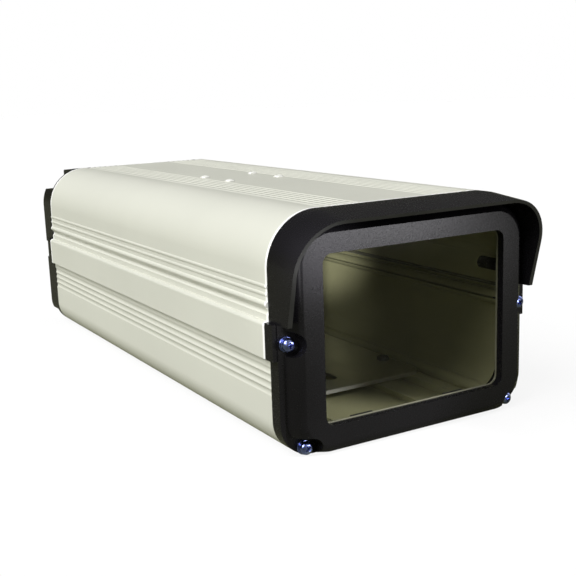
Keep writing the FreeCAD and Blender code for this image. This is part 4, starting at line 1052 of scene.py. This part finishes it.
def lock_nut():
    """The flat nut inside the cap, its bore opened a little at both ends."""
    nut = chamfered_hex("lock_nut", GLAND_HEX, LOCK_NUT_HEIGHT)
    flare, top = THREAD_BORE + 0.3, LOCK_NUT_HEIGHT
    carve(nut, [turned("bore", [(-1, flare), (0, flare), (0.3, THREAD_BORE), (top - 0.3, THREAD_BORE),
                                (top, flare), (top + 1, flare)], sides=48)])
    return nut


class HOUSING_OT_glands(bpy.types.Operator):
    """Three cable glands in the rear cap: body, ribbed dome nut, lock nut and seal"""
    bl_idname = "housing.glands"
    bl_label = "Cable glands"

    def execute(self, context):
        nylon = material("gland_nylon", gland_nylon)
        rubber = material("soft_rubber", soft_rubber)
        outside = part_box("rear_cap")[1].y
        for side in ("left", "middle", "right"):
            axis = middle(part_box(f"{side}_gland_lock_nut"))
            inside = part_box(f"{side}_gland_lock_nut")[1].y
            for part, maker, seat, along in (
                    ("body", gland_body, outside, (0, 1, 0)),
                    ("dome_nut", gland_nut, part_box(f"{side}_gland_dome_nut")[0].y, (0, 1, 0)),
                    ("lock_nut", lock_nut, inside, (0, -1, 0))):
                node = f"{side}_gland_{part}"
                piece = planted(maker(), [(axis.x, seat, axis.z)], along, f"{node}_moulding")
                settle(piece, "housing", nylon, [node], smooth=30)
            node = f"{side}_gland_seal"
            softened(node, f"{node}_ring", "housing", rubber, sizes().rubber_edge)
        return {"FINISHED"}


# Latches and rivets

LATCH_PLATE = 1.2 * MM

# Radius and height of the head, radius and length of the shank, radius of the set end, in mm
LATCH_RIVET = (2.2, 0.9, 1.2, 2.7, None)
ROOF_RIVET = (2.9, 1.1, 1.2, 2.2, 1.8)


def blind_rivet(name, head, height, shank, grip, tail):
    """A rivet along +Z whose head stands on zero, with the end of its mandrel in the middle;
    tail is the radius of the set end, if it shows one."""
    foot = [(-grip, shank * 0.85), (-grip + 0.2, shank)]
    if tail:
        foot = [(-grip - 2.5, shank * 0.8), (-grip - 2.2, tail * 0.85), (-grip - 1.2, tail),
                (-grip - 0.3, tail * 0.93), (-grip, shank)]
    dimple = head * 0.34
    return turned(name, foot + [
        (0, shank), (0, head * 0.95), (height * 0.14, head), (height * 0.42, head * 0.93),
        (height * 0.72, head * 0.74), (height * 0.93, head * 0.5), (height, dimple),
        (height * 0.7, dimple * 0.94), (height * 0.7, dimple * 0.78), (height * 0.82, dimple * 0.7),
        (height * 0.82, dimple * 0.2)], sides=28)


class HOUSING_OT_latches(bpy.types.Operator):
    """Latch bases, hooks, pins and rivets, and the cover's hinge pins"""
    bl_idname = "housing.latches"
    bl_label = "Latches and hinge pins"

    def execute(self, context):
        steel = material("brushed_steel", brushed_steel)
        edge = sizes().sheet_edge
        for prefix in ("front", "rear"):
            for part, body, slot in (("latch_base", "housing", "latch_steel"),
                                     ("latch_hook", f"{prefix}_latch", "latch_steel"),
                                     ("latch_pin", "housing", "zinc_steel"),
                                     ("hinge_pin", "housing", "zinc_steel")):
                node = f"{prefix}_{part}"
                softened(node, f"{node}_steel", body, steel, edge)
        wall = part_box("front_latch_base")[0].x + LATCH_PLATE
        spots = [(wall, middle(pair).y, middle(pair).z) for pair in solid_boxes("latch_rivets")]
        piece = planted(blind_rivet("rivet", *LATCH_RIVET), spots, (1, 0, 0),
                        "latch_blind_rivets")
        settle(piece, "housing", material("rivet_metal", rivet_metal),
               ["latch_rivets"], smooth=30)
        return {"FINISHED"}


class HOUSING_OT_roof_rivets(bpy.types.Operator):
    """Blind rivets through the roof"""
    bl_idname = "housing.roof_rivets"
    bl_label = "Roof rivets"

    def execute(self, context):
        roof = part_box("upper_cover")[1].z
        spots = [(middle(pair).x, middle(pair).y, roof) for pair in solid_boxes("roof_rivets")]
        piece = planted(blind_rivet("rivet", *ROOF_RIVET), spots, (0, 0, 1),
                        "roof_blind_rivets")
        settle(piece, "cover", material("rivet_metal", rivet_metal),
               ["roof_rivets"], smooth=30)
        return {"FINISHED"}


# Stage, lights and camera

CAMERA_PLACE = (-0.26847, -0.51012, 0.16287)
CAMERA_AZIMUTH = -30.13
CAMERA_ELEVATION = 12.12
CAMERA_ROLL = -2.01
CAMERA_FOCAL_PIXELS = 972.42
CAMERA_SHIFT_PIXELS = (2.2, 3.1)
IMAGE_SIDE = 576
SENSOR_WIDTH = 36.0

# Strength of the walls' light before and behind the housing, and its colour from below
LIGHT_IN_FRONT = 0.36
LIGHT_BEHIND = 0.08
LIGHT_FROM_BELOW = (0.09, 0.095, 0.01)

FLOOR_RADIUS = 6.0
FLOOR_DROP = 0.2 * MM
FLOOR_COVER = 0.12

# The spots that shine in through the window stand beside the camera
SPOT_PLACE = (-0.262, -0.50, 0.155)
SPOT_RADIUS = 0.01


def aimed_light(kind, name, place, target, power):
    """A light that the camera doesn't see, turned to its target."""
    bpy.ops.object.light_add(type=kind, location=place)
    light = bpy.context.object
    light.name = name
    light.data.energy = power
    light.visible_camera = False
    aim = Vector(target) - Vector(place)
    light.rotation_euler = aim.to_track_quat("-Z", "Y").to_euler()
    return light.data


def area_light(name, place, target, width, height, power, colour):
    """A rectangular panel of light."""
    panel = aimed_light("AREA", name, place, target, power)
    panel.shape = "RECTANGLE"
    panel.size = width
    panel.size_y = height
    panel.color = colour


def soft_sun(name, towards, strength, angle):
    """A broad distant light that shines from a direction."""
    bpy.ops.object.light_add(type="SUN", location=towards)
    light = bpy.context.object
    light.name = name
    light.data.energy = strength
    light.data.angle = math.radians(angle)
    light.rotation_euler = (-Vector(towards)).to_track_quat("-Z", "Y").to_euler()


def snooted_spot(name, place, target, power, cone, radius, blend):
    """A narrow spot that lights only what it is aimed at."""
    spot = aimed_light("SPOT", name, place, target, power)
    spot.spot_size = math.radians(cone)
    spot.spot_blend = blend
    spot.shadow_soft_size = radius


def studio_world():
    """White walls where they are seen. As light they are bright in front, dim behind the
    housing, and olive from below."""
    world = bpy.data.worlds.new("studio_world")
    world.use_nodes = True
    tree = world.node_tree
    back = tree.nodes["Background"]
    split = tree.nodes.new("ShaderNodeSeparateXYZ")
    place = tree.nodes.new("ShaderNodeTexCoord")
    tree.links.new(place.outputs["Generated"], split.inputs["Vector"])

    def along(axis, start, end, first, last):
        """Goes from first to last while the direction goes from start to end on an axis."""
        made = tree.nodes.new("ShaderNodeMapRange")
        ends = {"From Min": start, "From Max": end, "To Min": first, "To Max": last}
        for name, value in ends.items():
            made.inputs[name].default_value = value
        tree.links.new(split.outputs[axis], made.inputs["Value"])
        return made.outputs["Result"]

    walls = tree.nodes.new("ShaderNodeMix")
    walls.data_type = "RGBA"
    walls.inputs["A"].default_value = (*LIGHT_FROM_BELOW, 1)
    tree.links.new(along("Y", -0.2, 0.4, LIGHT_IN_FRONT, LIGHT_BEHIND), walls.inputs["B"])
    tree.links.new(along("Z", -0.10, 0.30, 0, 1), walls.inputs["Factor"])
    rays = tree.nodes.new("ShaderNodeLightPath")
    seen = tree.nodes.new("ShaderNodeMix")
    seen.data_type = "RGBA"
    seen.inputs["B"].default_value = (1, 1, 1, 1)
    tree.links.new(walls.outputs["Result"], seen.inputs["A"])
    tree.links.new(rays.outputs["Is Camera Ray"], seen.inputs["Factor"])
    tree.links.new(seen.outputs["Result"], back.inputs["Color"])
    return world


def photo_camera():
    """The camera that sees the housing as the photograph does."""
    azimuth = math.radians(CAMERA_AZIMUTH)
    elevation = math.radians(CAMERA_ELEVATION)
    roll = math.radians(CAMERA_ROLL)
    ahead = Vector((-math.sin(azimuth) * math.cos(elevation),
                    math.cos(azimuth) * math.cos(elevation), -math.sin(elevation)))
    right = ahead.cross(Vector((0, 0, 1))).normalized()
    up = right.cross(ahead)
    turned_right = right * math.cos(roll) + up * math.sin(roll)
    turned_up = up * math.cos(roll) - right * math.sin(roll)
    facing = Matrix((turned_right, turned_up, -ahead)).transposed()
    bpy.ops.object.camera_add(location=CAMERA_PLACE)
    camera = bpy.context.object
    camera.name = "photo_camera"
    camera.rotation_euler = facing.to_euler()
    camera.data.sensor_width = SENSOR_WIDTH
    camera.data.lens = CAMERA_FOCAL_PIXELS * SENSOR_WIDTH / IMAGE_SIDE
    camera.data.shift_x = CAMERA_SHIFT_PIXELS[0] / IMAGE_SIDE
    camera.data.shift_y = CAMERA_SHIFT_PIXELS[1] / IMAGE_SIDE
    camera.data.clip_start = 0.01
    camera.data.clip_end = 50
    return camera


class HOUSING_OT_stage(bpy.types.Operator):
    """Pale floor, soft lights and the camera"""
    bl_idname = "housing.stage"
    bl_label = "Studio"

    def execute(self, context):
        bpy.ops.mesh.primitive_circle_add(vertices=96, radius=FLOOR_RADIUS, fill_type="NGON",
                                          location=(0, 0, CAD_BOX[0].z - FLOOR_DROP))
        floor = context.object
        floor.name = "studio_floor"
        apply_place(floor)
        floor.data.materials.append(material("studio_floor", studio_floor))

        context.scene.world = studio_world()
        soft_sun("key_light", (-0.70, -0.08, 0.71), 4.05, 46)
        soft_sun("fill_light", (1.0, 0.15, 0.45), 0.7, 50)
        area_light("sheen_light", (0.28, -0.64, 0.035), (-0.03, -0.17, 0.10), 0.20, 0.04, 0.75,
                   (0.96, 0.94, 1.0))
        snooted_spot("glow_spot", SPOT_PLACE, (0.068, 0.018, 0.050), 30.0, 5.5, SPOT_RADIUS, 1.0)
        snooted_spot("wall_spot", SPOT_PLACE, (0.068, 0.035, 0.012), 3.0, 9.0, SPOT_RADIUS, 1.0)
        snooted_spot("floor_spot", (0.47, -0.99, 0.69), (-0.032, -0.149, 0.003), 68.0, 4.5, 0.015,
                     0.2)

        context.scene.camera = photo_camera()
        context.scene.view_settings.view_transform = "Standard"
        return {"FINISHED"}


OPERATORS = (
    HOUSING_OT_extrusions,
    HOUSING_OT_caps,
    HOUSING_OT_window,
    HOUSING_OT_seals,
    HOUSING_OT_screws,
    HOUSING_OT_sled,
    HOUSING_OT_glands,
    HOUSING_OT_latches,
    HOUSING_OT_roof_rivets,
    HOUSING_OT_stage,
)


class HOUSING_PT_panel(bpy.types.Panel):
    """Lists the pieces in the sidebar"""
    bl_idname = "HOUSING_PT_panel"
    bl_label = "Camera housing"
    bl_space_type = "VIEW_3D"
    bl_region_type = "UI"
    bl_category = "Housing"

    def draw(self, context):
        for group in (context.scene.housing_sizes, context.scene.housing_finish):
            column = self.layout.column(align=True)
            for name in group.__annotations__:
                column.prop(group, name)
        for operator in OPERATORS:
            self.layout.operator(operator.bl_idname)


CLASSES = (HousingSizes, HousingFinish, *OPERATORS, HOUSING_PT_panel)


def register():
    for item in CLASSES:
        bpy.utils.register_class(item)
    bpy.types.Scene.housing_sizes = PointerProperty(type=HousingSizes)
    bpy.types.Scene.housing_finish = PointerProperty(type=HousingFinish)


def unregister():
    del bpy.types.Scene.housing_finish
    del bpy.types.Scene.housing_sizes
    for item in reversed(CLASSES):
        bpy.utils.unregister_class(item)


def main():
    """Makes every piece and the studio."""
    register()
    for operator in OPERATORS:
        group, name = operator.bl_idname.split(".")
        getattr(getattr(bpy.ops, group), name)()


if __name__ == "__main__":
    main()
